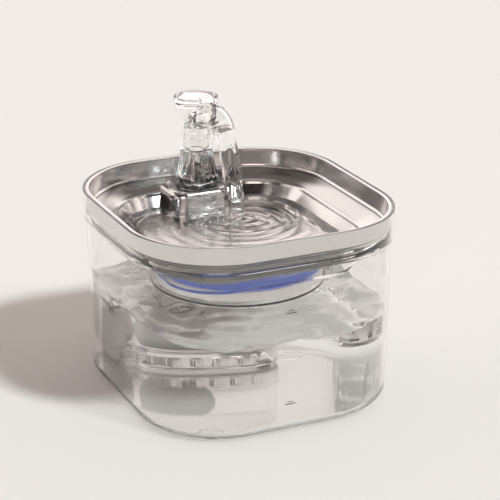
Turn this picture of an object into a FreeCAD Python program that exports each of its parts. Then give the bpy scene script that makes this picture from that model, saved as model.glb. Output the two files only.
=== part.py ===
import FreeCAD, Part
import math
import os
import Sketcher

# A countertop pet water fountain: a clear rounded-square tank with a flared collar, a clear
# support tray on the collar's shoulder, a steel drinking tray above it, a round filter basket
# hanging in the middle, a submersible pump on the tank floor and a clear swivelling faucet.
# Millimetres, +Z up, origin on the table under the middle of the tank, front at -Y.

# Driving sizes: alias, value in millimetres (degrees for angles, plain counts), meaning
SIZES = [
    ("tank_width", 190.0, "tank collar outside, left to right"),
    ("tank_depth", 202.5, "tank collar outside, front to back"),
    ("tank_corner", 63.8, "collar's outer corner radius"),
    ("tank_height", 139.7, "table to the top of the collar"),
    ("tank_wall", 2.0, "tank wall"),
    ("tank_floor", 2.5, "tank floor thickness"),
    ("tank_draft", 1.5, "how far each wall leans out from base to shoulder"),
    ("tank_base_round", 10.0, "outer radius along the bottom edge"),
    ("collar_flare", 2.25, "how far the collar stands out from the wall"),
    ("collar_height", 22.7, "height of the flared collar"),
    ("collar_rise", 2.6, "height of the collar's sloped start"),
    ("rim_chamfer", 0.5, "chamfer of the collar's top edge"),
    ("foot_radius", 8.8, "foot pad radius"),
    ("foot_height", 1.5, "how far the foot pads stand below the tank"),
    ("foot_recess", 0.6, "depth of the recess that each foot pad sits in"),
    ("foot_x", 52.0, "foot pad centre, left to right"),
    ("foot_y", 74.0, "foot pad centre, front to back"),
    ("gap", 0.3, "clearance between loosely nested pieces"),
    ("fit", 0.06, "radial clearance of turning and plugged round fits"),
    ("slip", 0.15, "clearance of inner pieces in their pockets"),
    ("steel", 0.8, "steel sheet thickness"),
    ("band_width", 2.2, "width of the steel tray's folded rim"),
    ("rim_recess", 0.5, "how far the steel rim lies below the collar's top"),
    ("band_height", 11.6, "height of the folded rim"),
    ("ledge_step", 1.1, "folded rim's lower edge down to the ledge"),
    ("ledge_drop", 5.5, "fall of the ledge from rim to pool"),
    ("ledge_width", 17.5, "width of the sloped steel ledge"),
    ("inner_wall_draft", 1.0, "lean of the wall between rim and ledge"),
    ("pool_depth", 18.0, "depth of the pool below the ledge"),
    ("pool_slope", 10.0, "horizontal run of the pool wall"),
    ("pool_round", 6.0, "rounding between pool wall and pool floor"),
    ("island_width", 48.0, "width of the raised faucet island"),
    ("island_front", 17.0, "faucet axis to the island's front face"),
    ("island_back", 23.0, "faucet axis to the end of the island in the ledge"),
    ("island_rise", 22.0, "height of the island above the pool floor"),
    ("island_corner", 9.0, "radius of the island's upright corners"),
    ("island_round", 4.0, "rounding along the island's top edge"),
    ("drain_radius", 2.6, "drain hole radius in the pool floor"),
    ("drain_ring", 12.0, "radius of the ring of drain holes"),
    ("drain_count", 6, "drain holes in the ring"),
    ("drain_forward", 22.0, "middle of the tray to the middle of the drain holes"),
    ("faucet_back", 31.25, "faucet axis to the back of the collar"),
    ("support_wall", 1.8, "clear support tray wall"),
    ("support_drop", 3.0, "run of the support tray's sloped wall past the steel pool"),
    ("nut_room", 3.0, "room round the faucet nut in the support tray"),
    ("basket_margin", 4.0, "least room between the basket and the support tray's wall"),
    ("basket_wall", 1.6, "filter basket wall"),
    ("basket_depth", 20.7, "depth of the basket below its flange"),
    ("basket_flange", 1.6, "how far the basket's flange stands out"),
    ("basket_flange_thick", 1.4, "flange thickness"),
    ("basket_rib", 1.6, "height of the ribs under the filter"),
    ("basket_rib_width", 2.0, "width of the ribs under the filter"),
    ("basket_rib_count", 6, "ribs under the filter"),
    ("basket_slot_width", 3.0, "drain slot width in the basket's bottom"),
    ("basket_slot_count", 12, "drain slots"),
    ("filter_gap", 0.9, "room round the filter in the basket"),
    ("cotton_height", 7.5, "white layer thickness"),
    ("sponge_height", 9.0, "blue layer thickness"),
    ("carbon_margin", 7.0, "edge of the filter to the carbon pad in it"),
    ("carbon_height", 4.8, "thickness of the carbon pad"),
    ("pump_width", 76.0, "pump base, left to right"),
    ("pump_depth", 38.0, "pump base, front to back"),
    ("pump_corner", 12.0, "pump base corner radius"),
    ("pump_base_height", 12.5, "pump base height"),
    ("pump_wall", 1.5, "pump box wall"),
    ("pump_headroom", 1.55, "cable gland to the inside of the pump cover"),
    ("cup_height", 1.5, "gap under the pump base that the suction cups bridge"),
    ("cup_recess", 0.7, "depth of the suction cup recesses"),
    ("cup_radius", 5.0, "suction cup radius"),
    ("cup_x", 26.0, "suction cup centre, left to right"),
    ("cup_y", 11.0, "suction cup centre, front and back of the faucet axis"),
    ("slot_width", 2.0, "intake slot width in the pump base"),
    ("slot_height", 6.0, "intake slot height"),
    ("slot_pitch", 5.0, "intake slot spacing"),
    ("slot_count", 10, "intake slots along the front"),
    ("volute_half", 7.0, "half length of the impeller chamber"),
    ("motor_round", 3.0, "rounding of the motor block's long edges"),
    ("motor_wall", 1.3, "wall round the stator pocket"),
    ("volute_radius", 12.5, "outer radius of the impeller chamber"),
    ("volute_wall", 1.5, "wall of the impeller chamber"),
    ("volute_floor", 2.5, "wall between the impeller chamber and the stator"),
    ("well_radius", 7.0, "bore of the rotor well"),
    ("well_wall", 1.2, "wall of the rotor well"),
    ("bush_radius", 2.6, "shaft bush radius"),
    ("bush_length", 2.4, "shaft bush length"),
    ("shaft_radius", 1.25, "ceramic shaft radius"),
    ("magnet_radius", 6.3, "rotor magnet radius"),
    ("magnet_length", 20.0, "rotor magnet length"),
    ("vane_gap", 1.2, "impeller vanes to the chamber wall"),
    ("vane_length", 8.6, "length of the impeller vanes"),
    ("vane_thick", 1.1, "impeller vane thickness"),
    ("vane_count", 6, "impeller vanes"),
    ("hub_radius", 3.0, "impeller hub radius"),
    ("cover_plate", 2.5, "impeller cover thickness"),
    ("intake_radius", 1.5, "intake hole radius in the impeller cover"),
    ("intake_ring", 6.4, "radius of the ring of intake holes"),
    ("intake_count", 8, "intake holes"),
    ("core_stack", 13.5, "stator plate stack length"),
    ("core_leg", 2.6, "stator leg thickness"),
    ("core_bar", 4.0, "stator crossbar height"),
    ("coil_build", 2.4, "coil thickness round the crossbar"),
    ("potting_height", 2.0, "sealing plug thickness"),
    ("potting_gap", 1.7, "sealing plug to the coil"),
    ("gland_radius", 4.0, "cable gland radius"),
    ("gland_height", 6.0, "cable gland height"),
    ("cable_hole", 2.4, "bore of the cable gland"),
    ("spigot_radius", 4.9, "outer radius of the pump outlet and the stem's tail"),
    ("spigot_bore", 3.4, "bore of the pump outlet and the stem's tail"),
    ("outlet_stand", 4.0, "how far the pump outlet stands above the cover"),
    ("tube_wall", 1.5, "riser tube wall"),
    ("tube_lap", 9.0, "how far the riser tube reaches up the stem's tail"),
    ("gasket_height", 1.0, "stem gasket thickness"),
    ("stem_foot_radius", 16.6, "radius of the stem's foot"),
    ("stem_foot_height", 3.0, "height of the stem's foot"),
    ("stem_waist_radius", 11.4, "stem radius under the spout"),
    ("stem_height", 27.6, "height of the stem up to its shoulder under the spout"),
    ("neck_radius", 9.0, "radius of the neck that the spout turns on"),
    ("neck_length", 17.4, "length of the neck"),
    ("shank_radius", 7.0, "radius of the stem's threaded shank"),
    ("shank_length", 14.0, "length of the threaded shank"),
    ("tail_length", 12.0, "length of the tail below the shank"),
    ("stem_bore", 5.0, "bore of the stem above the shank"),
    ("nut_radius", 12.0, "faucet nut, corner radius"),
    ("nut_height", 6.0, "faucet nut height"),
    ("seal_wire", 0.9, "radius of the spout seal's round section"),
    ("seal_rise", 9.4, "stem's shoulder to the spout seal"),
    ("spout_lip_radius", 12.2, "outer radius of the spout's lower lip"),
    ("spout_top_radius", 16.0, "outer radius at the top of the spout"),
    ("spout_height", 38.6, "height of the spout"),
    ("spout_cap", 3.0, "thickness of the spout's top"),
    ("spout_flat", 13.4, "faucet axis to the flat front of the spout's top"),
    ("spout_reach", 33.0, "faucet axis to the tip of the nozzle"),
    ("nozzle_width", 19.0, "width of the nozzle"),
    ("nozzle_wall", 2.0, "nozzle wall"),
    ("nozzle_fall", 14.0, "top of the spout down to the nozzle's tip"),
    ("nozzle_mouth", 8.5, "height of the nozzle's mouth"),
    ("nozzle_rise", 8.1, "spout's lip up to the nozzle's underside"),
    ("spout_turn", 18.0, "angle that the nozzle points to the right of the front, degrees"),
]


# Sizes that follow from the driving ones: alias, formula in the sheet, meaning
FOLLOWING = [
    ("faucet_y", "tank_depth / 2 - faucet_back", "faucet axis, distance behind the middle"),
    ("collar_bottom", "tank_height - collar_height", "height where the collar starts"),
    ("band_top", "tank_height - rim_recess", "top of the steel rim"),
    ("band_bottom", "band_top - band_height", "lower edge of the folded rim"),
    ("ledge_height", "band_bottom - ledge_step", "outer edge of the steel ledge"),
    ("ledge_inner_height", "ledge_height - ledge_drop", "inner edge of the steel ledge"),
    ("pool_height", "ledge_inner_height - pool_depth", "floor of the drinking pool"),
    ("island_height", "pool_height + island_rise", "top of the island"),
    ("support_inset", "band_width + inner_wall_draft - steel - gap", "support tray's ledge, outer edge"),
    ("support_floor_inset", "support_inset + ledge_width + pool_slope - support_drop", "its floor's edge"),
    ("basket_seat", "pool_height - steel - 2 * gap - basket_flange_thick", "seat of the basket's flange"),
    ("basket_bottom", "basket_seat - basket_depth", "underside of the filter basket"),
    ("tube_radius", "spigot_radius + fit + tube_wall", "outer radius of the riser tube"),
    ("basket_by_tube", "faucet_y - tube_radius - basket_flange - gap - slip", "basket up to the tube"),
    ("basket_by_wall", "min(tank_width; tank_depth) / 2 - tank_wall - gap - support_floor_inset"
     " - basket_margin", "basket up to the support tray's wall"),
    ("basket_radius", "min(basket_by_tube; basket_by_wall)", "outer radius of the filter basket"),
    ("filter_radius", "basket_radius - basket_wall - filter_gap", "filter pad radius"),
    ("carbon_radius", "filter_radius - carbon_margin", "radius of the carbon pad"),
    ("riser_way", "nut_radius + nut_room", "radius of the way through the support tray"),
    ("pump_bottom", "foot_height + tank_floor + cup_height", "underside of the pump base"),
    ("pump_floor", "pump_bottom + pump_wall", "floor of the pump box"),
    ("well_outer", "well_radius + well_wall", "outer radius of the rotor well"),
    ("axle_height", "pump_floor + potting_height + potting_gap + 2 * coil_build + core_bar"
     " + well_outer + 2 * slip", "height of the impeller axis"),
    ("motor_top", "axle_height + well_outer + slip + 2 * motor_wall", "top of the motor block"),
    ("motor_depth", "2 * (well_outer + core_leg + 2 * slip + motor_wall)", "motor block, front to back"),
    ("well_depth", "magnet_length + 2 * gap", "depth of the rotor well"),
    ("well_reach", "volute_half - volute_floor + well_depth", "faucet axis to the end of the well"),
    ("stator_length", "core_stack + 2 * coil_build + 2 * slip", "stator pocket, left to right"),
    ("stator_reach", "volute_half + motor_wall + stator_length", "faucet axis to the pocket's end"),
    ("motor_left", "max(well_reach + bush_length; stator_reach) + 2 * motor_wall",
     "faucet axis to the left end of the motor block"),
    ("pump_top", "motor_top + gland_height + pump_headroom + pump_wall", "top of the pump cover"),
    ("outlet_collar", "axle_height + volute_radius + tube_wall", "collar on the pump outlet"),
    ("outlet_top", "pump_top + outlet_stand", "top of the pump outlet"),
    ("volute_bore", "volute_radius - volute_wall", "bore of the impeller chamber"),
    ("vane_radius", "volute_bore - vane_gap", "tip radius of the impeller vanes"),
    ("stem_foot", "island_height + gasket_height", "underside of the stem's foot"),
    ("stem_waist_height", "stem_foot + stem_height", "stem's shoulder under the spout"),
    ("neck_top", "stem_waist_height + neck_length", "top of the neck"),
    ("seal_height", "stem_waist_height + seal_rise", "height of the spout seal"),
    ("shank_bottom", "stem_foot - shank_length", "lower end of the shank"),
    ("tail_bottom", "shank_bottom - tail_length", "lower end of the stem's tail"),
    ("tube_top", "tail_bottom + tube_lap", "top of the riser tube"),
    ("spout_lip", "stem_waist_height + gap", "lower lip of the spout"),
    ("spout_top", "spout_lip + spout_height", "top of the spout"),
    ("nozzle_tip_top", "spout_top - nozzle_fall", "upper edge of the nozzle's tip"),
    ("nozzle_tip_bottom", "nozzle_tip_top - nozzle_mouth", "lower edge of the nozzle's tip"),
    ("nozzle_root", "spout_lip + nozzle_rise", "where the nozzle's underside meets the spout"),
]


# A size carries its number and its spreadsheet expression together
class Size:
    def __init__(self, text, number):
        self.text = text
        self.number = number

    def joined(self, other, sign, number):
        return Size("(%s %s %s)" % (self.text, sign, as_size(other).text), number)

    def __add__(self, other):
        return self.joined(other, "+", self.number + as_size(other).number)

    def __sub__(self, other):
        return self.joined(other, "-", self.number - as_size(other).number)

    def __mul__(self, other):
        return self.joined(other, "*", self.number * as_size(other).number)

    def __truediv__(self, other):
        return self.joined(other, "/", self.number / as_size(other).number)

    def __neg__(self):
        return Size("(0 - %s)" % self.text, -self.number)

    def __radd__(self, other):
        return as_size(other) + self

    def __rsub__(self, other):
        return as_size(other) - self

    def __rmul__(self, other):
        return as_size(other) * self


def as_size(value):
    return value if isinstance(value, Size) else Size(repr(float(value)), float(value))


def lean_angle(run, rise):
    degrees = math.degrees(math.atan2(run.number, rise.number))
    return Size("atan(%s / %s)" % (run.text, rise.text), degrees)


ZERO = as_size(0)
doc = FreeCAD.newDocument("pet_fountain")
sheet = doc.addObject("Spreadsheet::Sheet", "Sizes")
S = {}
for row, (alias, number, meaning) in enumerate(SIZES, start=1):
    sheet.set("A%d" % row, meaning)
    sheet.set("B%d" % row, str(number))
    sheet.setAlias("B%d" % row, alias)
for row, (alias, formula, meaning) in enumerate(FOLLOWING, start=len(SIZES) + 1):
    sheet.set("A%d" % row, meaning)
    sheet.set("B%d" % row, "=" + formula)
    sheet.setAlias("B%d" % row, alias)
doc.recompute()
for alias, value, meaning in SIZES + FOLLOWING:
    S[alias] = Size("Sizes." + alias, float(sheet.get(alias)))


# Binding and drawing helpers
def bind(item, name, size):
    size = as_size(size)
    if "." in name or name.startswith("Constraints"):
        item.setExpression(name, size.text)
        return
    setattr(item, name, size.number)
    item.setExpression(name, size.text)


def new_body(label):
    body = doc.addObject("PartDesign::Body", label)
    body.Label = label
    return body


def origin_feature(body, role):
    return next(item for item in body.Origin.OriginFeatures if item.Role == role)


def new_sketch(body, plane, offset=ZERO):
    sketch = body.newObject("Sketcher::SketchObject", body.Name + "_sketch")
    sketch.AttachmentSupport = [(origin_feature(body, plane), "")]
    sketch.MapMode = "FlatFace"
    offset = as_size(offset)
    sketch.AttachmentOffset = FreeCAD.Placement(FreeCAD.Vector(0, 0, offset.number), FreeCAD.Rotation())
    sketch.setExpression("AttachmentOffset.Base.z", offset.text)
    return sketch


def place_point(sketch, geometry, point, x, y):
    for kind, size in (("DistanceX", as_size(x)), ("DistanceY", as_size(y))):
        constraint = Sketcher.Constraint(kind, -1, 1, geometry, point, size.number)
        index = sketch.addConstraint(constraint)
        sketch.setExpression("Constraints[%d]" % index, size.text)


def draw_circle(sketch, radius, x=ZERO, y=ZERO):
    radius, x, y = as_size(radius), as_size(x), as_size(y)
    centre = FreeCAD.Vector(x.number, y.number, 0)
    index = sketch.addGeometry(Part.Circle(centre, FreeCAD.Vector(0, 0, 1), radius.number), False)
    limit = sketch.addConstraint(Sketcher.Constraint("Radius", index, radius.number))
    sketch.setExpression("Constraints[%d]" % limit, radius.text)
    place_point(sketch, index, 3, x, y)


def draw_polygon(sketch, points):
    points = [(as_size(x), as_size(y)) for x, y in points]
    spots = [FreeCAD.Vector(x.number, y.number, 0) for x, y in points]
    first = sketch.GeometryCount
    count = len(spots)
    for number in range(count):
        sketch.addGeometry(Part.LineSegment(spots[number], spots[(number + 1) % count]), False)
    for number in range(count):
        following = first + (number + 1) % count
        sketch.addConstraint(Sketcher.Constraint("Coincident", first + number, 2, following, 1))
    for number, (x, y) in enumerate(points):
        place_point(sketch, first + number, 1, x, y)


def draw_rectangle(sketch, x_low, x_high, y_low, y_high):
    draw_polygon(sketch, [(x_low, y_low), (x_high, y_low), (x_high, y_high), (x_low, y_high)])


def draw_rounded(sketch, width, depth, corner, x=ZERO, y=ZERO):
    width, depth, corner, x, y = [as_size(value) for value in (width, depth, corner, x, y)]
    half_x, half_y = width / 2 - corner, depth / 2 - corner
    first = sketch.GeometryCount
    up = FreeCAD.Vector(0, 0, 1)
    signs = [(1, -1), (1, 1), (-1, 1), (-1, -1)]
    centres = [(x + half_x * sx, y + half_y * sy) for sx, sy in signs]
    for number, (cx, cy) in enumerate(centres):
        circle = Part.Circle(FreeCAD.Vector(cx.number, cy.number, 0), up, corner.number)
        start = math.radians(-90 + 90 * number)
        sketch.addGeometry(Part.ArcOfCircle(circle, start, start + math.pi / 2), False)
    for number in range(4):
        here = sketch.Geometry[first + number].EndPoint
        there = sketch.Geometry[first + (number + 1) % 4].StartPoint
        sketch.addGeometry(Part.LineSegment(here, there), False)
    for number, (cx, cy) in enumerate(centres):
        arc, line = first + number, first + 4 + number
        following = first + (number + 1) % 4
        sketch.addConstraint(Sketcher.Constraint("Tangent", arc, 2, line, 1))
        sketch.addConstraint(Sketcher.Constraint("Tangent", line, 2, following, 1))
        place_point(sketch, arc, 3, cx, cy)
        if number:
            sketch.addConstraint(Sketcher.Constraint("Equal", first, arc))
    limit = sketch.addConstraint(Sketcher.Constraint("Radius", first, corner.number))
    sketch.setExpression("Constraints[%d]" % limit, corner.text)


# Features: every pad and pocket runs along its sketch's normal unless down is set
def pad(body, sketch, length, flare=None, down=False, middle=False):
    feature = body.newObject("PartDesign::Pad", body.Name + "_pad")
    feature.Profile = sketch
    bind(feature, "Length", length)
    feature.Reversed = down
    feature.Midplane = middle
    if flare is not None:
        bind(feature, "TaperAngle", lean_angle(as_size(flare), as_size(length)))
    doc.recompute()
    return feature


def pocket(body, sketch, length, flare=None, down=False, middle=False):
    feature = body.newObject("PartDesign::Pocket", body.Name + "_pocket")
    feature.Profile = sketch
    feature.Type = 0
    bind(feature, "Length", length)
    feature.Reversed = not down
    feature.Midplane = middle
    if flare is not None:
        bind(feature, "TaperAngle", lean_angle(as_size(flare), as_size(length)))
    doc.recompute()
    return feature


def revolve(body, sketch, axis="V_Axis"):
    feature = body.newObject("PartDesign::Revolution", body.Name + "_turn")
    feature.Profile = sketch
    feature.ReferenceAxis = (sketch, [axis])
    feature.Angle = 360
    doc.recompute()
    return feature


def polar(body, feature, count, axis="Z_Axis"):
    pattern = body.newObject("PartDesign::PolarPattern", body.Name + "_polar")
    pattern.Originals = [feature]
    pattern.Axis = (origin_feature(body, axis), [""])
    pattern.Angle = 360
    pattern.Occurrences = int(count.number)
    pattern.setExpression("Occurrences", count.text)
    body.Tip = pattern
    doc.recompute()
    return pattern


def row_of(body, feature, pitch, count, axis="X_Axis"):
    pattern = body.newObject("PartDesign::LinearPattern", body.Name + "_row")
    pattern.Originals = [feature]
    pattern.Direction = (origin_feature(body, axis), [""])
    bind(pattern, "Length", pitch * (count - 1))
    pattern.Occurrences = int(count.number)
    pattern.setExpression("Occurrences", count.text)
    body.Tip = pattern
    doc.recompute()
    return pattern


def edge_names(shape, wanted):
    return ["Edge%d" % number for number, edge in enumerate(shape.Edges, start=1) if wanted(edge)]


def fillet(body, radius, wanted):
    base = body.Tip
    feature = body.newObject("PartDesign::Fillet", body.Name + "_fillet")
    feature.Base = (base, edge_names(base.Shape, wanted))
    bind(feature, "Radius", radius)
    doc.recompute()
    return feature


def chamfer(body, size, wanted):
    base = body.Tip
    feature = body.newObject("PartDesign::Chamfer", body.Name + "_chamfer")
    feature.Base = (base, edge_names(base.Shape, wanted))
    bind(feature, "Size", size)
    doc.recompute()
    return feature


def lies_at(height, near=0.02):
    level = as_size(height).number
    return lambda edge: (abs(edge.BoundBox.ZMin - level) < near and abs(edge.BoundBox.ZMax - level) < near)


def outermost_at(height, reach):
    flat = lies_at(height)
    limit = as_size(reach).number

    def wanted(edge):
        box = edge.BoundBox
        span = max(abs(box.XMin), abs(box.XMax), abs(box.YMin), abs(box.YMax))
        return flat(edge) and span > limit
    return wanted


def frustum(body, low, high, width, depth, corner, flare=None):
    sketch = new_sketch(body, "XY_Plane", low)
    draw_rounded(sketch, width, depth, corner)
    return pad(body, sketch, as_size(high) - low, flare)


def boolean(kind, label, first, second):
    item = doc.addObject("Part::" + kind, label)
    item.Label = label
    item.Base = first
    item.Tool = second
    doc.recompute()
    return item


def move_to(item, x=ZERO, y=ZERO, z=ZERO):
    for axis, size in zip("xyz", (x, y, z)):
        item.setExpression("Placement.Base." + axis, as_size(size).text)
    doc.recompute()


pieces = {}
tank_bottom = S["foot_height"]
inside_floor = tank_bottom + S["tank_floor"]
shoulder = S["collar_bottom"] + S["collar_rise"]
wall_width = S["tank_width"] - 2 * S["collar_flare"]
wall_depth = S["tank_depth"] - 2 * S["collar_flare"]
wall_corner = S["tank_corner"] - S["collar_flare"]
base_width = wall_width - 2 * S["tank_draft"]
base_depth = wall_depth - 2 * S["tank_draft"]
base_corner = wall_corner - S["tank_draft"]
faucet_y = S["faucet_y"]


# Clear tank: drafted walls, rounded bottom edge, flared collar with an inner shoulder
def make_tank():
    outside = new_body("tank_outside")
    frustum(outside, tank_bottom, S["collar_bottom"], base_width, base_depth, base_corner, S["tank_draft"])
    frustum(outside, S["collar_bottom"], shoulder, wall_width, wall_depth, wall_corner, S["collar_flare"])
    frustum(outside, shoulder, S["tank_height"], S["tank_width"], S["tank_depth"], S["tank_corner"])
    fillet(outside, S["tank_base_round"], lies_at(tank_bottom))
    chamfer(outside, S["rim_chamfer"], lies_at(S["tank_height"]))
    sketch = new_sketch(outside, "XY_Plane", tank_bottom)
    for sx in (-1, 1):
        for sy in (-1, 1):
            draw_circle(sketch, S["foot_radius"] + S["gap"], S["foot_x"] * sx, S["foot_y"] * sy)
    pocket(outside, sketch, S["foot_recess"])
    wall = S["tank_wall"]
    inside = new_body("tank_inside")
    frustum(inside, inside_floor, shoulder, base_width - 2 * wall, base_depth - 2 * wall,
            base_corner - wall, S["tank_draft"])
    frustum(inside, shoulder, S["tank_height"] + wall, S["tank_width"] - 2 * wall,
            S["tank_depth"] - 2 * wall, S["tank_corner"] - wall)
    chamfer(inside, (S["tank_base_round"] - wall) * 0.6, lies_at(inside_floor))
    pieces["tank"] = boolean("Cut", "tank", outside, inside)


# Four round foot pads, seated in the recesses under the floor
def make_feet():
    body = new_body("tank_feet")
    sketch = new_sketch(body, "XY_Plane")
    for sx in (-1, 1):
        for sy in (-1, 1):
            draw_circle(sketch, S["foot_radius"], S["foot_x"] * sx, S["foot_y"] * sy)
    pad(body, sketch, S["foot_height"] + S["foot_recess"])
    pieces["tank_feet"] = body


# Steel drinking tray: folded rim band, sloped ledge, pool and a raised island for the faucet
def make_drinking_tray():
    steel = S["steel"]
    width = S["tank_width"] - 2 * S["tank_wall"] - 2 * S["gap"]
    depth = S["tank_depth"] - 2 * S["tank_wall"] - 2 * S["gap"]
    corner = S["tank_corner"] - S["tank_wall"] - S["gap"]
    wall_in = S["band_width"] + S["inner_wall_draft"]
    ledge_in = wall_in + S["ledge_width"]
    pool_in = ledge_in + S["pool_slope"]

    def ring(body, low, high, inset, flare=None):
        frustum(body, low, high, width - 2 * inset, depth - 2 * inset, corner - inset, flare)

    outside = new_body("tray_outside")
    ring(outside, S["pool_height"] - steel, S["ledge_inner_height"] - steel, pool_in - steel,
         S["pool_slope"])
    ring(outside, S["ledge_inner_height"] - steel, S["ledge_height"] - steel, ledge_in - steel,
         S["ledge_width"])
    ring(outside, S["ledge_height"] - steel, S["band_bottom"], wall_in - steel)
    ring(outside, S["band_bottom"], S["band_top"], ZERO)
    chamfer(outside, (S["pool_round"] + steel) * 0.3, lies_at(S["pool_height"] - steel))
    chamfer(outside, steel / 2, outermost_at(S["band_top"], ZERO))
    cavity = new_body("tray_space")
    ring(cavity, S["pool_height"], S["ledge_inner_height"], pool_in, S["pool_slope"])
    ring(cavity, S["ledge_inner_height"], S["ledge_height"], ledge_in, S["ledge_width"])
    ring(cavity, S["ledge_height"], S["band_top"] + steel, wall_in, S["inner_wall_draft"])
    fillet(cavity, S["pool_round"], lies_at(S["pool_height"]))

    def island_block(label, inset, top, finish, size):
        body = new_body(label)
        sketch = new_sketch(body, "XY_Plane", S["pool_height"] - 2 * S["pool_round"])
        front = faucet_y - S["island_front"] + inset
        back = faucet_y + S["island_back"]
        draw_rounded(sketch, S["island_width"] - 2 * inset, back - front, S["island_corner"] - inset,
                     ZERO, (front + back) / 2)
        pad(body, sketch, top - S["pool_height"] + 2 * S["pool_round"])
        finish(body, size, lies_at(top))
        return body

    island = island_block("tray_island", ZERO, S["island_height"], fillet, S["island_round"])
    space = boolean("Cut", "tray_water_space", cavity, island)
    sheet_metal = boolean("Cut", "tray_sheet", outside, space)
    hollow = island_block("tray_island_hollow", steel, S["island_height"] - steel, chamfer,
                          (S["island_round"] - steel) * 0.6)
    dished = boolean("Cut", "tray_dished", sheet_metal, hollow)
    holes = new_body("tray_holes")
    sketch = new_sketch(holes, "XY_Plane", S["pool_height"] - 2 * S["pool_round"])
    draw_circle(sketch, S["shank_radius"] + S["gap"], ZERO, faucet_y)
    pad(holes, sketch, S["island_height"] - S["pool_height"] + 4 * S["pool_round"])
    bored = boolean("Cut", "tray_bored", dished, holes)
    drains = new_body("tray_drains")
    sketch = new_sketch(drains, "XY_Plane", -2 * steel)
    draw_circle(sketch, S["drain_radius"])
    pad(drains, sketch, 4 * steel)
    sketch = new_sketch(drains, "XY_Plane", -2 * steel)
    draw_circle(sketch, S["drain_radius"], S["drain_ring"])
    polar(drains, pad(drains, sketch, 4 * steel), S["drain_count"])
    move_to(drains, ZERO, -S["drain_forward"], S["pool_height"])
    pieces["drinking_tray"] = boolean("Cut", "drinking_tray", bored, drains)


# Clear support tray: rests on the collar's shoulder, follows the steel tray from below and
# carries the filter basket in a round opening
def make_support_tray():
    wall = S["support_wall"]
    width = S["tank_width"] - 2 * S["tank_wall"] - 2 * S["gap"]
    depth = S["tank_depth"] - 2 * S["tank_wall"] - 2 * S["gap"]
    corner = S["tank_corner"] - S["tank_wall"] - S["gap"]
    ledge_top = S["ledge_height"] - S["steel"] - S["gap"]
    ledge_low = S["ledge_inner_height"] - S["steel"] - S["gap"]
    ledge_in = S["support_inset"] + S["ledge_width"]
    floor_in = S["support_floor_inset"]
    well_in = S["collar_flare"] + S["gap"]

    def ring(body, low, high, inset, flare=None):
        frustum(body, low, high, width - 2 * inset, depth - 2 * inset, corner - inset, flare)

    outside = new_body("support_outside")
    run = floor_in - ledge_in
    ring(outside, S["basket_seat"] - wall, ledge_low - wall, floor_in - wall, run)
    ring(outside, ledge_low - wall, shoulder, ledge_in - wall, ledge_in - wall - well_in)
    ring(outside, shoulder, ledge_top, ZERO)
    cavity = new_body("support_space")
    ring(cavity, S["basket_seat"], ledge_low, floor_in, run)
    ring(cavity, ledge_low, ledge_top, ledge_in, S["ledge_width"])
    shell = boolean("Cut", "support_shell", outside, cavity)
    openings = new_body("support_openings")
    sketch = new_sketch(openings, "XY_Plane", S["basket_seat"] - 2 * wall)
    draw_circle(sketch, S["basket_radius"] + S["gap"])
    pad(openings, sketch, 4 * wall)
    ways = new_body("support_way")
    sketch = new_sketch(ways, "XY_Plane", S["basket_seat"] - 2 * wall)
    draw_circle(sketch, S["riser_way"], ZERO, faucet_y)
    pad(ways, sketch, ledge_top - S["basket_seat"] + 4 * wall)
    opened = boolean("Cut", "support_opened", shell, openings)
    pieces["support_tray"] = boolean("Cut", "support_tray", opened, ways)


# Clear filter basket: a cup with a flange, drain slots and ribs that hold the filter up
def make_filter_basket():
    wall = S["basket_wall"]
    low = S["basket_bottom"]
    top = S["basket_seat"] + S["basket_flange_thick"]
    outer = S["basket_radius"]
    body = new_body("filter_basket")
    sketch = new_sketch(body, "XZ_Plane")
    draw_polygon(sketch, [(ZERO, low), (outer, low), (outer, S["basket_seat"]),
                          (outer + S["basket_flange"], S["basket_seat"]), (outer + S["basket_flange"], top),
                          (outer - wall, top), (outer - wall, low + wall), (ZERO, low + wall)])
    revolve(body, sketch)
    chamfer(body, wall / 2, outermost_at(low, outer / 2))
    sketch = new_sketch(body, "XY_Plane", low + wall)
    half = S["basket_rib_width"] / 2
    draw_rectangle(sketch, S["drain_ring"], outer - 2 * wall, -half, half)
    polar(body, pad(body, sketch, S["basket_rib"]), S["basket_rib_count"])
    sketch = new_sketch(body, "XY_Plane", low)
    half = S["basket_slot_width"] / 2
    turn_clear = outer * 0.45
    draw_rectangle(sketch, turn_clear, outer - 6 * wall, half, 3 * half)
    polar(body, pocket(body, sketch, wall), S["basket_slot_count"])
    pieces["filter_basket"] = body


# Filter: blue foam over a white cotton layer with a carbon pad inside it
def make_filter():
    low = S["basket_bottom"] + S["basket_wall"] + S["basket_rib"] + S["gap"]
    top = low + S["cotton_height"]
    cotton = new_body("white_cotton")
    sketch = new_sketch(cotton, "XY_Plane", low)
    draw_circle(sketch, S["filter_radius"])
    pad(cotton, sketch, S["cotton_height"])
    sketch = new_sketch(cotton, "XY_Plane", top)
    draw_circle(sketch, S["carbon_radius"] + S["slip"])
    pocket(cotton, sketch, S["carbon_height"] + S["slip"], down=True)
    chamfer(cotton, S["basket_wall"], outermost_at(low, S["carbon_radius"] + 1))
    carbon = new_body("carbon_pad")
    sketch = new_sketch(carbon, "XY_Plane", top - S["carbon_height"])
    draw_circle(sketch, S["carbon_radius"])
    pad(carbon, sketch, S["carbon_height"])
    sponge = new_body("blue_sponge")
    sketch = new_sketch(sponge, "XY_Plane", top)
    draw_circle(sketch, S["filter_radius"])
    pad(sponge, sketch, S["sponge_height"])
    chamfer(sponge, S["basket_wall"] / 2, outermost_at(top + S["sponge_height"], S["carbon_radius"]))
    pieces["white_cotton"] = cotton
    pieces["carbon_pad"] = carbon
    pieces["blue_sponge"] = sponge


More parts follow.
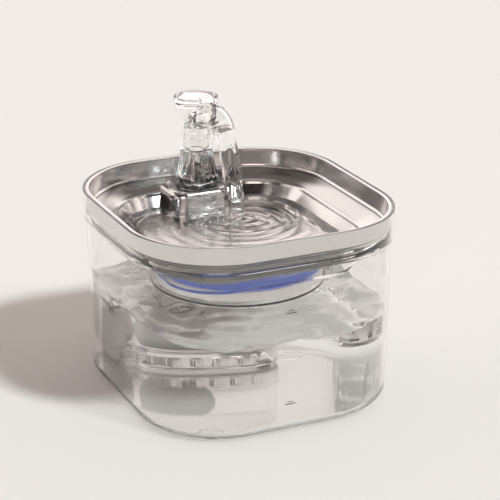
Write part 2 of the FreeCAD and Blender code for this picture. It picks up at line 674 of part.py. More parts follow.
# Pump box: a slotted base on suction cups and a cover that stands in it
def make_pump_box():
    wall = S["pump_wall"]
    corner = S["pump_corner"]
    base = new_body("pump_base")
    sketch = new_sketch(base, "XY_Plane", S["pump_bottom"])
    draw_rounded(sketch, S["pump_width"], S["pump_depth"], corner, ZERO, faucet_y)
    pad(base, sketch, S["pump_base_height"])
    chamfer(base, wall, lies_at(S["pump_bottom"]))
    sketch = new_sketch(base, "XY_Plane", S["pump_floor"])
    draw_rounded(sketch, S["pump_width"] - 2 * wall, S["pump_depth"] - 2 * wall, corner - wall,
                 ZERO, faucet_y)
    pocket(base, sketch, S["pump_base_height"])
    sketch = new_sketch(base, "XY_Plane", S["pump_bottom"])
    for sx in (-1, 1):
        for sy in (-1, 1):
            draw_circle(sketch, S["cup_radius"] + S["gap"], S["cup_x"] * sx, faucet_y + S["cup_y"] * sy)
    pocket(base, sketch, S["cup_recess"])
    front = faucet_y - S["pump_depth"] / 2
    half_row = S["slot_pitch"] * (S["slot_count"] - 1) / 2
    sketch = new_sketch(base, "XZ_Plane", -(front + 2 * wall))
    draw_rectangle(sketch, -half_row - S["slot_width"] / 2, S["slot_width"] / 2 - half_row,
                   S["pump_floor"] + wall, S["pump_floor"] + wall + S["slot_height"])
    row_of(base, pocket(base, sketch, 3 * wall), S["slot_pitch"], S["slot_count"])
    cover = new_body("pump_cover")
    width = S["pump_width"] - 2 * wall - 2 * S["gap"]
    depth = S["pump_depth"] - 2 * wall - 2 * S["gap"]
    corner = corner - wall - S["gap"]
    sketch = new_sketch(cover, "XY_Plane", S["pump_floor"])
    draw_rounded(sketch, width, depth, corner, ZERO, faucet_y)
    pad(cover, sketch, S["pump_top"] - S["pump_floor"])
    fillet(cover, 2 * wall, lies_at(S["pump_top"]))
    sketch = new_sketch(cover, "XY_Plane", S["pump_floor"])
    draw_rounded(sketch, width - 2 * wall, depth - 2 * wall, corner - wall, ZERO, faucet_y)
    pocket(cover, sketch, S["pump_top"] - S["pump_floor"] - wall)
    sketch = new_sketch(cover, "XY_Plane", S["pump_top"] - 2 * wall)
    draw_circle(sketch, S["tube_radius"] + S["gap"], ZERO, faucet_y)
    draw_circle(sketch, S["gland_radius"] - S["pump_wall"], -gland_x, faucet_y)
    pocket(cover, sketch, 3 * wall)
    sketch = new_sketch(cover, "XZ_Plane", -(front + 3 * wall))
    draw_rectangle(sketch, -half_row - S["slot_width"] / 2, S["slot_width"] / 2 - half_row,
                   S["pump_floor"] + wall, S["pump_floor"] + wall + S["slot_height"])
    row_of(cover, pocket(cover, sketch, 4 * wall), S["slot_pitch"], S["slot_count"])
    pieces["pump_base"] = base
    pieces["pump_cover"] = cover


# Suction cups under the pump base
def make_suction_cups():
    body = new_body("suction_cups")
    sketch = new_sketch(body, "XY_Plane", inside_floor)
    for sx in (-1, 1):
        for sy in (-1, 1):
            draw_circle(sketch, S["cup_radius"], S["cup_x"] * sx, faucet_y + S["cup_y"] * sy)
    pad(body, sketch, S["cup_height"] + S["cup_recess"])
    pieces["suction_cups"] = body


# Pump housing: motor block with a stator pocket from below, a rotor well along X, the open
# impeller chamber and the outlet that stands up under the faucet
def make_pump_body():
    body = new_body("pump_body")
    low, axle = S["pump_floor"], S["axle_height"]
    half = S["motor_depth"] / 2
    chamber = S["volute_half"]
    sketch = new_sketch(body, "YZ_Plane", -S["motor_left"])
    draw_rectangle(sketch, faucet_y - half, faucet_y + half, low, S["motor_top"])
    pad(body, sketch, S["motor_left"] - chamber)
    along = S["motor_left"] - chamber - 0.5

    def runs_along_x(edge):
        box = edge.BoundBox
        return box.XLength > along.number and box.ZMin > low.number + 1
    fillet(body, S["motor_round"], runs_along_x)
    sketch = new_sketch(body, "YZ_Plane", -chamber)
    draw_circle(sketch, S["volute_radius"], faucet_y, axle)
    pad(body, sketch, 2 * chamber)
    sketch = new_sketch(body, "XY_Plane", axle)
    draw_circle(sketch, spigot_collar, ZERO, faucet_y)
    pad(body, sketch, S["outlet_collar"] - axle)
    sketch = new_sketch(body, "XY_Plane", axle)
    draw_circle(sketch, S["spigot_radius"], ZERO, faucet_y)
    pad(body, sketch, S["outlet_top"] - axle)
    sketch = new_sketch(body, "XY_Plane", low)
    draw_rectangle(sketch, stator_left, stator_right, faucet_y - stator_half, faucet_y + stator_half)
    pocket(body, sketch, stator_top - low)
    sketch = new_sketch(body, "YZ_Plane", stator_left - S["motor_wall"])
    draw_circle(sketch, S["well_outer"], faucet_y, axle)
    pad(body, sketch, stator_right - stator_left + 2 * S["motor_wall"])
    sketch = new_sketch(body, "YZ_Plane", chamber)
    draw_circle(sketch, S["volute_bore"], faucet_y, axle)
    pocket(body, sketch, chamber - well_mouth, down=True)
    sketch = new_sketch(body, "YZ_Plane", well_mouth)
    draw_circle(sketch, S["well_radius"], faucet_y, axle)
    pocket(body, sketch, S["well_depth"], down=True)
    sketch = new_sketch(body, "YZ_Plane", well_end)
    draw_circle(sketch, S["bush_radius"], faucet_y, axle)
    pocket(body, sketch, S["bush_length"], down=True)
    sketch = new_sketch(body, "XY_Plane", axle)
    draw_circle(sketch, S["spigot_bore"], ZERO, faucet_y)
    pocket(body, sketch, S["outlet_top"])
    pieces["pump_body"] = body


# Stator: a U of steel plates round the rotor well, the coil on its crossbar, and the plug
def make_stator():
    axle = S["axle_height"]
    well = S["well_outer"] + S["slip"]
    core = new_body("stator_core")
    leg_top = stator_top - S["slip"]
    bar_low = axle - well - S["coil_build"] - S["core_bar"] - S["slip"]
    outer = well + S["core_leg"]
    sketch = new_sketch(core, "YZ_Plane", core_left)
    draw_polygon(sketch, [(faucet_y - outer, bar_low), (faucet_y + outer, bar_low),
                          (faucet_y + outer, leg_top), (faucet_y + well, leg_top),
                          (faucet_y + well, bar_low + S["core_bar"]),
                          (faucet_y - well, bar_low + S["core_bar"]),
                          (faucet_y - well, leg_top), (faucet_y - outer, leg_top)])
    pad(core, sketch, S["core_stack"])
    coil = new_body("stator_coil")
    build, slip = S["coil_build"], S["slip"]
    sketch = new_sketch(coil, "XZ_Plane", -(faucet_y + well - slip))
    draw_rounded(sketch, S["core_stack"] + 2 * build, S["core_bar"] + 2 * build, build,
                 core_left + S["core_stack"] / 2, bar_low + S["core_bar"] / 2)
    pad(coil, sketch, 2 * (well - slip))
    sketch = new_sketch(coil, "XZ_Plane", -(faucet_y + well))
    draw_rectangle(sketch, core_left - slip / 2, core_left + S["core_stack"] + slip / 2,
                   bar_low - slip / 2, bar_low + S["core_bar"] + slip / 2)
    pocket(coil, sketch, 2 * well)
    plug = new_body("potting_plug")
    sketch = new_sketch(plug, "XY_Plane", S["pump_floor"])
    draw_rectangle(sketch, stator_left + slip, stator_right - slip, faucet_y - stator_half + slip,
                   faucet_y + stator_half - slip)
    pad(plug, sketch, S["potting_height"])
    pieces["stator_core"] = core
    pieces["stator_coil"] = coil
    pieces["potting_plug"] = plug


# Rotor: magnet and vaned impeller on a fixed ceramic shaft between two rubber bushes
def make_rotor():
    axle = S["axle_height"]
    bore = S["shaft_radius"] + S["fit"]
    chamber = S["volute_half"]
    shaft_end = chamber + S["cover_plate"]
    shaft = new_body("pump_shaft")
    sketch = new_sketch(shaft, "YZ_Plane", well_end - S["bush_length"] + S["slip"])
    draw_circle(sketch, S["shaft_radius"], faucet_y, axle)
    pad(shaft, sketch, shaft_end - well_end + S["bush_length"] - 2 * S["slip"])
    bushes = new_body("shaft_bushes")
    for start in (well_end - S["bush_length"], shaft_end - S["bush_length"]):
        sketch = new_sketch(bushes, "YZ_Plane", start)
        draw_circle(sketch, S["bush_radius"] - S["fit"], faucet_y, axle)
        draw_circle(sketch, bore, faucet_y, axle)
        pad(bushes, sketch, S["bush_length"])
    magnet = new_body("rotor_magnet")
    magnet_end = well_mouth - S["gap"]
    sketch = new_sketch(magnet, "YZ_Plane", magnet_end - S["magnet_length"])
    draw_circle(sketch, S["magnet_radius"], faucet_y, axle)
    draw_circle(sketch, bore, faucet_y, axle)
    pad(magnet, sketch, S["magnet_length"])
    impeller = new_body("impeller")
    sketch = new_sketch(impeller, "YZ_Plane")
    draw_circle(sketch, S["hub_radius"])
    draw_circle(sketch, bore)
    pad(impeller, sketch, S["vane_length"])
    sketch = new_sketch(impeller, "YZ_Plane", 2 * S["gap"])
    half = S["vane_thick"] / 2
    draw_rectangle(sketch, S["hub_radius"] - S["fit"] * 5, S["vane_radius"], -half, half)
    polar(impeller, pad(impeller, sketch, S["vane_length"]), S["vane_count"], "X_Axis")
    move_to(impeller, magnet_end, faucet_y, axle)
    cover = new_body("impeller_cover")
    sketch = new_sketch(cover, "YZ_Plane")
    draw_circle(sketch, S["volute_radius"])
    draw_circle(sketch, S["bush_radius"])
    pad(cover, sketch, S["cover_plate"])
    sketch = new_sketch(cover, "YZ_Plane")
    draw_circle(sketch, S["intake_radius"], S["intake_ring"])
    polar(cover, pocket(cover, sketch, S["cover_plate"]), S["intake_count"], "X_Axis")
    move_to(cover, chamber, faucet_y, axle)
    pieces["pump_shaft"] = shaft
    pieces["shaft_bushes"] = bushes
    pieces["rotor_magnet"] = magnet
    pieces["impeller"] = impeller
    pieces["impeller_cover"] = cover


# Rubber cable gland on the motor block and the clear riser tube up to the faucet
def make_gland_and_tube():
    gland = new_body("cable_gland")
    sketch = new_sketch(gland, "XZ_Plane")
    radius, top = S["gland_radius"], S["gland_height"]
    draw_polygon(sketch, [(S["cable_hole"], ZERO), (radius, ZERO), (radius, top / 2),
                          (radius * 0.85, top), (S["cable_hole"], top)])
    revolve(gland, sketch)
    move_to(gland, -gland_x, faucet_y, S["motor_top"])
    tube = new_body("riser_tube")
    sketch = new_sketch(tube, "XY_Plane", S["outlet_collar"])
    draw_circle(sketch, S["tube_radius"], ZERO, faucet_y)
    draw_circle(sketch, S["spigot_radius"] + S["fit"], ZERO, faucet_y)
    pad(tube, sketch, S["tube_top"] - S["outlet_collar"])
    pieces["cable_gland"] = gland
    pieces["riser_tube"] = tube


# Faucet stem: flared foot on the gasket, shank and tail below, neck with a seal groove above
def make_stem():
    foot = S["stem_foot"]
    waist = S["stem_waist_height"]
    groove_low = S["seal_height"] - S["seal_wire"]
    stem = new_body("faucet_stem")
    sketch = new_sketch(stem, "XZ_Plane")
    draw_polygon(sketch, [(S["stem_bore"], S["neck_top"]),
                          (S["stem_bore"], S["shank_bottom"] + S["stem_bore"]),
                          (S["spigot_bore"], S["shank_bottom"] + S["spigot_bore"]),
                          (S["spigot_bore"], S["tail_bottom"]), (S["spigot_radius"], S["tail_bottom"]),
                          (S["spigot_radius"], S["shank_bottom"]), (S["shank_radius"], S["shank_bottom"]),
                          (S["shank_radius"], foot), (S["stem_foot_radius"], foot),
                          (S["stem_foot_radius"], foot + S["stem_foot_height"]),
                          (S["stem_waist_radius"], waist), (S["neck_radius"], waist),
                          (S["neck_radius"], groove_low),
                          (S["neck_radius"] - S["seal_wire"], groove_low),
                          (S["neck_radius"] - S["seal_wire"], groove_low + 2 * S["seal_wire"]),
                          (S["neck_radius"], groove_low + 2 * S["seal_wire"]),
                          (S["neck_radius"], S["neck_top"])])
    revolve(stem, sketch)
    chamfer(stem, S["stem_foot_height"] / 4, outermost_at(foot + S["stem_foot_height"], ZERO))
    move_to(stem, ZERO, faucet_y)
    gasket = new_body("stem_gasket")
    sketch = new_sketch(gasket, "XY_Plane", S["island_height"])
    draw_circle(sketch, S["stem_foot_radius"] - S["gap"], ZERO, faucet_y)
    draw_circle(sketch, S["shank_radius"] + S["slip"], ZERO, faucet_y)
    pad(gasket, sketch, S["gasket_height"])
    nut = new_body("faucet_nut")
    sketch = new_sketch(nut, "XY_Plane", S["island_height"] - S["steel"] - S["nut_height"])
    corners = []
    for number in range(6):
        turn = math.radians(60 * number)
        corners.append((S["nut_radius"] * math.cos(turn), faucet_y + S["nut_radius"] * math.sin(turn)))
    draw_polygon(sketch, corners)
    draw_circle(sketch, S["shank_radius"] + S["fit"], ZERO, faucet_y)
    pad(nut, sketch, S["nut_height"])
    seal = new_body("spout_seal")
    sketch = new_sketch(seal, "XZ_Plane")
    wire = S["seal_wire"]
    middle = S["neck_radius"] - wire / 2
    corners = []
    for number in range(6):
        turn = math.radians(60 * number)
        corners.append((middle + wire * (0.5 * math.cos(turn)),
                        S["seal_height"] + wire * (0.5 * math.sin(turn))))
    draw_polygon(sketch, corners)
    revolve(seal, sketch)
    move_to(seal, ZERO, faucet_y)
    pieces["faucet_stem"] = stem
    pieces["stem_gasket"] = gasket
    pieces["faucet_nut"] = nut
    pieces["spout_seal"] = seal


# Faucet spout: a flared cap over the neck with a flat-fronted top and a falling nozzle
def make_spout():
    lip = S["spout_lip"]
    top = S["spout_top"]
    bore = S["neck_radius"] + S["fit"]
    cap = new_body("spout_cap_body")
    sketch = new_sketch(cap, "XZ_Plane")
    draw_polygon(sketch, [(ZERO, lip), (S["spout_lip_radius"], lip), (S["spout_top_radius"], top),
                          (ZERO, top)])
    revolve(cap, sketch)
    sketch = new_sketch(cap, "XY_Plane", lip)
    reach = 2 * S["spout_top_radius"]
    draw_rectangle(sketch, -reach, reach, -reach, -S["spout_flat"])
    pocket(cap, sketch, top)
    chamfer(cap, S["nozzle_wall"] / 2, lies_at(top))
    chamfer(cap, S["nozzle_wall"] / 3, outermost_at(lip, bore))
    nozzle = new_body("spout_nozzle")
    sketch = new_sketch(nozzle, "YZ_Plane")
    tip = -S["spout_reach"]
    root_top = top - S["spout_cap"]
    middle = (root_top + S["nozzle_tip_top"]) / 2 + S["nozzle_wall"]
    draw_polygon(sketch, [(ZERO, S["nozzle_root"]), (ZERO, root_top), (-S["spout_flat"], root_top),
                          (tip * 0.78, middle), (tip, S["nozzle_tip_top"]),
                          (tip, S["nozzle_tip_bottom"]), (tip * 0.45, S["nozzle_root"])])
    pad(nozzle, sketch, S["nozzle_width"], middle=True)

    def top_sides(edge):
        box = edge.BoundBox
        return (box.XLength < 0.01 and box.ZMax > S["nozzle_tip_top"].number - 0.1
                and box.YMin > tip.number - 0.1 and box.YMax < -1 and box.YLength > 1)
    fillet(nozzle, 2 * S["nozzle_wall"], top_sides)
    joined = boolean("Fuse", "spout_joined", cap, nozzle)
    inner = new_body("spout_waterway")
    wall = S["nozzle_wall"]
    sketch = new_sketch(inner, "YZ_Plane")
    draw_polygon(sketch, [(ZERO, S["nozzle_root"] + wall), (ZERO, root_top - wall),
                          (-S["spout_flat"], root_top - wall),
                          (tip * 0.78 + wall, middle - wall), (tip + wall, S["nozzle_tip_top"] - wall),
                          (tip + wall, S["nozzle_tip_bottom"] - wall), (tip * 0.7, S["nozzle_root"] + wall)])
    pad(inner, sketch, S["nozzle_width"] - 2 * wall, middle=True)
    hollowed = boolean("Cut", "spout_hollowed", joined, inner)
    socket = new_body("spout_socket")
    sketch = new_sketch(socket, "XZ_Plane")
    draw_polygon(sketch, [(ZERO, lip - wall), (bore, lip - wall), (bore, S["neck_top"] + wall),
                          (S["spout_top_radius"] - 2 * wall, root_top - wall), (ZERO, root_top - wall)])
    revolve(socket, sketch)
    spout = boolean("Cut", "faucet_spout", hollowed, socket)
    turn = FreeCAD.Rotation(FreeCAD.Vector(0, 0, 1), S["spout_turn"].number)
    spout.Placement = FreeCAD.Placement(FreeCAD.Vector(0, faucet_y.number, 0), turn)
    spout.setExpression("Placement.Base.y", faucet_y.text)
    spout.setExpression("Placement.Rotation.Angle", S["spout_turn"].text)
    doc.recompute()
    pieces["faucet_spout"] = spout


spigot_collar = S["spigot_radius"] + S["tube_wall"]
gland_x = S["motor_left"] - 2 * S["gland_radius"]
well_mouth = S["volute_floor"] - S["volute_half"]
well_end = -S["well_reach"]
stator_left = -S["stator_reach"]
stator_right = -S["volute_half"] - S["motor_wall"]
stator_half = S["motor_depth"] / 2 - S["motor_wall"]
stator_top = S["motor_top"] - 2 * S["motor_wall"]
core_left = (stator_left + stator_right - S["core_stack"]) / 2

make_tank()
make_feet()
make_suction_cups()
make_pump_box()
make_pump_body()
make_stator()
make_rotor()
make_gland_and_tube()
make_support_tray()
make_filter_basket()
make_filter()
make_drinking_tray()
make_stem()
make_spout()
doc.recompute()

# Check every object, then write one file for each piece
faults = []
for item in doc.Objects:
    if "Invalid" in item.State or "Error" in item.State:
        faults.append(item.Name)
for label, piece in pieces.items():
    if piece.Shape.isNull() or not piece.Shape.isValid() or not piece.Shape.Solids:
        faults.append(label + " shape")
if faults:
    raise RuntimeError("These did not build: " + ", ".join(faults))
os.makedirs("parts", exist_ok=True)
for label, piece in pieces.items():
    shape = piece.Shape
    shape.exportStep("parts/%s.step" % label)
    box = shape.optimalBoundingBox(False)
    print("%-16s %d solids %8.0f mm3  z %.1f to %.1f" % (label, len(shape.Solids), shape.Volume,
                                                       box.ZMin, box.ZMax))
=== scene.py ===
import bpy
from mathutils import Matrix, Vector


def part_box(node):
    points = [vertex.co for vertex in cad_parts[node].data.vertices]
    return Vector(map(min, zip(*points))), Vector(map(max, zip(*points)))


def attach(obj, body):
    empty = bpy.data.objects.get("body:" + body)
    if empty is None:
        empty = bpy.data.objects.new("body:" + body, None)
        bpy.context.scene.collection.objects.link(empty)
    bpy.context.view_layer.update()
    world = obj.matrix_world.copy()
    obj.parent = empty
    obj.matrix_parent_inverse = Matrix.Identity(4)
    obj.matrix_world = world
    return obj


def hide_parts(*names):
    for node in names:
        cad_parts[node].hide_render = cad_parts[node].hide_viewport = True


bl_info = {
    "name": "Pet Water Fountain",
    "version": (1, 0, 0),
    "blender": (4, 5, 0),
    "location": "View3D > Sidebar > Fountain",
    "description": "Dresses the packed pet water fountain with clear, steel, foam and water pieces",
    "category": "Object",
}

import math

import bmesh
import bpy
from mathutils import Matrix, Vector, noise

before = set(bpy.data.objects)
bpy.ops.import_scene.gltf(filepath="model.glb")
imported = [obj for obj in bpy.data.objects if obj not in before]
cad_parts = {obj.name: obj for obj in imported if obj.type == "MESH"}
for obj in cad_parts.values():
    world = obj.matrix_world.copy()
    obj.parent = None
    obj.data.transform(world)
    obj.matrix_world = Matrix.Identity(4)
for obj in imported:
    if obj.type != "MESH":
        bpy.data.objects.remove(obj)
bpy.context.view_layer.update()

# Sizes are in millimetres, and MM turns them into the scene's metres
MM = 0.001
COLLAR_HALF_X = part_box("tank")[1].x / MM
COLLAR_HALF_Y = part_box("tank")[1].y / MM
COLLAR_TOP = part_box("tank")[1].z / MM
FAUCET_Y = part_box("riser_tube")[1].y / MM / 2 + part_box("riser_tube")[0].y / MM / 2
CORNER = 63.8
CORNER_STEPS = 14
STRAIGHT_STEPS = 6
# The deepest inset, where little is left of the corners' radius
DEEPEST_INSET = CORNER - 0.5


# Shapes
def arc(centre_x, centre_z, radius, start, end, steps=6):
    """Points of an arc in a profile, angles in degrees."""
    points = []
    for number in range(steps + 1):
        angle = math.radians(start + (end - start) * number / steps)
        points.append((centre_x + radius * math.cos(angle), centre_z + radius * math.sin(angle)))
    return points


def rounded_loop(half_x, half_y, corner, height, steps=CORNER_STEPS, straight=STRAIGHT_STEPS):
    """A rounded rectangle as a loop of points in millimetres, anticlockwise from the right side."""
    corner = max(corner, 0.01)
    points = []
    signs = [(1, 1), (-1, 1), (-1, -1), (1, -1)]
    for number, (sx, sy) in enumerate(signs):
        for step in range(steps + 1):
            angle = math.radians(90 * number + 90 * step / steps)
            points.append(Vector((sx * (half_x - corner) + corner * math.cos(angle),
                                  sy * (half_y - corner) + corner * math.sin(angle), height)))
        following = signs[(number + 1) % 4]
        last = points[-1]
        turn = math.radians(90 * (number + 1))
        target = Vector((following[0] * (half_x - corner) + corner * math.cos(turn),
                         following[1] * (half_y - corner) + corner * math.sin(turn), height))
        for step in range(1, straight):
            points.append(last.lerp(target, step / straight))
    return points


def inset_loop(inset, height, steps=CORNER_STEPS, straight=STRAIGHT_STEPS):
    """The collar's outline moved inwards, at a height."""
    return rounded_loop(COLLAR_HALF_X - inset, COLLAR_HALF_Y - inset, CORNER - inset, height,
                        steps, straight)


def supported(profile, distance=0.25):
    """Adds points near the ends of long straight runs, which keeps flat faces flat to the eye.

    Returns the points, and for each of them the number of the run that it belongs to.
    """
    points, rows = [], []
    closing = profile + profile[:1]
    for number, (start, end) in enumerate(zip(profile, closing[1:])):
        points.append(start)
        rows.append(number)
        length = math.dist(start, end)
        if length > 5 * distance and number < len(profile) - 1:
            for share in (distance / length, 1 - distance / length):
                points.append(tuple(a + (b - a) * share for a, b in zip(start, end)))
                rows.append(number)
    return points, rows


def circle_loop(radius, height, x=0.0, y=0.0, count=96):
    """A circle as a loop of points in millimetres."""
    points = []
    for number in range(count):
        angle = 2 * math.pi * number / count
        points.append(Vector((x + radius * math.cos(angle), y + radius * math.sin(angle), height)))
    return points


def skin(name, loops, sharp=35.0, joined=False, caps=True):
    """A smooth mesh over a row of loops with equal counts; joined closes the row onto itself."""
    mesh = bpy.data.meshes.new(name)
    count = len(loops[0])
    vertices = [point * MM for loop in loops for point in loop]
    faces = []
    rows = len(loops)
    for row in range(rows if joined else rows - 1):
        low, high = row * count, ((row + 1) % rows) * count
        for step in range(count):
            following = (step + 1) % count
            faces.append((low + step, low + following, high + following, high + step))
    if caps and not joined:
        faces.append(tuple(reversed(range(count))))
        faces.append(tuple(range((rows - 1) * count, rows * count)))
    mesh.from_pydata(vertices, [], faces)
    item = bpy.data.objects.new(name, mesh)
    bpy.context.scene.collection.objects.link(item)
    tidy(item, sharp)
    return item


def tidy(item, sharp=35.0):
    """Turns the faces outwards and shades them smooth up to an angle."""
    work = bmesh.new()
    work.from_mesh(item.data)
    bmesh.ops.recalc_face_normals(work, faces=work.faces)
    work.to_mesh(item.data)
    work.free()
    item.data.shade_smooth()
    item.data.set_sharp_from_angle(angle=math.radians(sharp))


def lathe(name, profile, x=0.0, y=0.0, count=96, sharp=35.0, joined=True):
    """A turned piece from (radius, height) points."""
    loops = [circle_loop(max(radius, 0.02), height, x, y, count) for radius, height in profile]
    return skin(name, loops, sharp, joined, caps=not joined)


def copy_of(item, name):
    """The item's evaluated mesh as a new object, with no modifiers left."""
    graph = bpy.context.evaluated_depsgraph_get()
    mesh = bpy.data.meshes.new_from_object(item.evaluated_get(graph))
    made = bpy.data.objects.new(name, mesh)
    bpy.context.scene.collection.objects.link(made)
    return made


def combine(base, tool, operation):
    """Joins the tool to the base, or cuts it out of it, and removes the tool."""
    step = base.modifiers.new(operation, "BOOLEAN")
    step.operation = operation
    step.solver = "EXACT"
    step.object = tool
    made = copy_of(base, base.name + "_made")
    drop(base, tool)
    return made


def drop(*items):
    """Removes helper objects."""
    for item in items:
        bpy.data.objects.remove(item)


def finish_piece(item, body, slot, paint, *nodes):
    """Gives a piece its material and body, and hides the nodes it stands for; the slot is not used."""
    item.data.materials.clear()
    item.data.materials.append(paint)
    if nodes:
        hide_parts(*nodes)
    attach(item, body)


def paint_node(node, paint):
    """Gives a carried-over node its material."""
    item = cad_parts[node]
    item.data.materials.clear()
    item.data.materials.append(paint)


# Materials
def new_material(name):
    """A new material, with its nodes, its links and its one shader."""
    made = bpy.data.materials.new(name)
    made.use_nodes = True
    nodes, links = made.node_tree.nodes, made.node_tree.links
    nodes.clear()
    output = nodes.new("ShaderNodeOutputMaterial")
    shader = nodes.new("ShaderNodeBsdfPrincipled")
    links.new(shader.outputs["BSDF"], output.inputs["Surface"])
    return made, nodes, links, shader


def add_noise(nodes, links, scale, detail=3.0, stretch=(1, 1, 1)):
    """A noise texture that stays with the piece."""
    place = nodes.new("ShaderNodeTexCoord")
    mapping = nodes.new("ShaderNodeMapping")
    mapping.inputs["Scale"].default_value = stretch
    texture = nodes.new("ShaderNodeTexNoise")
    texture.inputs["Scale"].default_value = scale
    texture.inputs["Detail"].default_value = detail
    links.new(place.outputs["Object"], mapping.inputs["Vector"])
    links.new(mapping.outputs["Vector"], texture.inputs["Vector"])
    return texture


def add_bump(nodes, links, source, shader, strength, distance):
    """Bends the shader's normal by a height; the distance is in metres."""
    bump = nodes.new("ShaderNodeBump")
    bump.inputs["Strength"].default_value = strength
    bump.inputs["Distance"].default_value = distance
    links.new(source, bump.inputs["Height"])
    links.new(bump.outputs["Normal"], shader.inputs["Normal"])


def add_spread(nodes, links, source, low, high, target):
    """Runs a socket from a low to a high value with the source."""
    spread = nodes.new("ShaderNodeMapRange")
    spread.inputs["To Min"].default_value = low
    spread.inputs["To Max"].default_value = high
    links.new(source, spread.inputs["Value"])
    links.new(spread.outputs["Result"], target)


def add_ramp(nodes, links, source, shader, start, end, span=(0.0, 1.0)):
    """Runs the shader's base colour from one colour to another over a span of the source."""
    ramp = nodes.new("ShaderNodeValToRGB")
    for element, colour, place in zip(ramp.color_ramp.elements, (start, end), span):
        element.color = (*colour, 1)
        element.position = place
    links.new(source, ramp.inputs["Fac"])
    links.new(ramp.outputs["Color"], shader.inputs["Base Color"])


def clear_material(name, tint, ior, roughness, wave=0.0, wave_scale=60.0, shade=0.97):
    """A see-through material; shadow and diffuse rays pass straight through it."""
    made, nodes, links, shader = new_material(name)
    shader.inputs["Base Color"].default_value = (*tint, 1)
    shader.inputs["Transmission Weight"].default_value = 1.0
    shader.inputs["IOR"].default_value = ior
    shader.inputs["Roughness"].default_value = roughness
    if wave:
        texture = add_noise(nodes, links, wave_scale)
        add_bump(nodes, links, texture.outputs["Fac"], shader, 0.4, wave)
    path = nodes.new("ShaderNodeLightPath")
    either = nodes.new("ShaderNodeMath")
    either.operation = "MAXIMUM"
    links.new(path.outputs["Is Shadow Ray"], either.inputs[0])
    links.new(path.outputs["Is Diffuse Ray"], either.inputs[1])
    through = nodes.new("ShaderNodeBsdfTransparent")
    through.inputs["Color"].default_value = (*[shade * channel for channel in tint], 1)
    mix = nodes.new("ShaderNodeMixShader")
    links.new(either.outputs["Value"], mix.inputs["Fac"])
    links.new(shader.outputs["BSDF"], mix.inputs[1])
    links.new(through.outputs["BSDF"], mix.inputs[2])
    links.new(mix.outputs["Shader"], nodes["Material Output"].inputs["Surface"])
    return made


def steel_material(name, colour, roughness):
    """Drawn steel: faint grain lines in gloss and relief, and slight changes of tone."""
    made, nodes, links, shader = new_material(name)
    shader.inputs["Metallic"].default_value = 1.0
    tone = add_noise(nodes, links, 9.0, 2.0)
    add_ramp(nodes, links, tone.outputs["Fac"], shader, [channel * 0.95 for channel in colour], colour)
    grain = add_noise(nodes, links, 260.0, 4.0, (1.0, 14.0, 1.0))
    add_spread(nodes, links, grain.outputs["Fac"], roughness * 0.8, roughness * 1.25,
               shader.inputs["Roughness"])
    add_bump(nodes, links, grain.outputs["Fac"], shader, 0.02, 0.00001)
    return made


def foam_material(name, colour, pore_shade, scale, depth):
    """Open foam or fibre: a colour with small darker pores, whose darkness is painted shade in the
    holes.
    """
    made, nodes, links, shader = new_material(name)
    cells = nodes.new("ShaderNodeTexVoronoi")
    cells.inputs["Scale"].default_value = scale
    place = nodes.new("ShaderNodeTexCoord")
    links.new(place.outputs["Object"], cells.inputs["Vector"])
    # The pores' darker colour is painted shade in the foam's holes
    add_ramp(nodes, links, cells.outputs["Distance"], shader, colour, pore_shade, (0.35, 0.95))
    shader.inputs["Roughness"].default_value = 1.0
    shader.inputs["Specular IOR Level"].default_value = 0.1
    add_bump(nodes, links, cells.outputs["Distance"], shader, 0.6, depth)
    return made


def moulded_material(name, colour, roughness, metallic=0.0, scale=900.0):
    """Moulded or cast surface: fine grain, slight tone and gloss changes."""
    made, nodes, links, shader = new_material(name)
    shader.inputs["Metallic"].default_value = metallic
    tone = add_noise(nodes, links, 40.0)
    add_ramp(nodes, links, tone.outputs["Fac"], shader, [channel * 0.88 for channel in colour], colour)
    grain = add_noise(nodes, links, scale)
    add_spread(nodes, links, grain.outputs["Fac"], roughness * 0.85, roughness * 1.15,
               shader.inputs["Roughness"])
    add_bump(nodes, links, grain.outputs["Fac"], shader, 0.15, 0.00005)
    return made


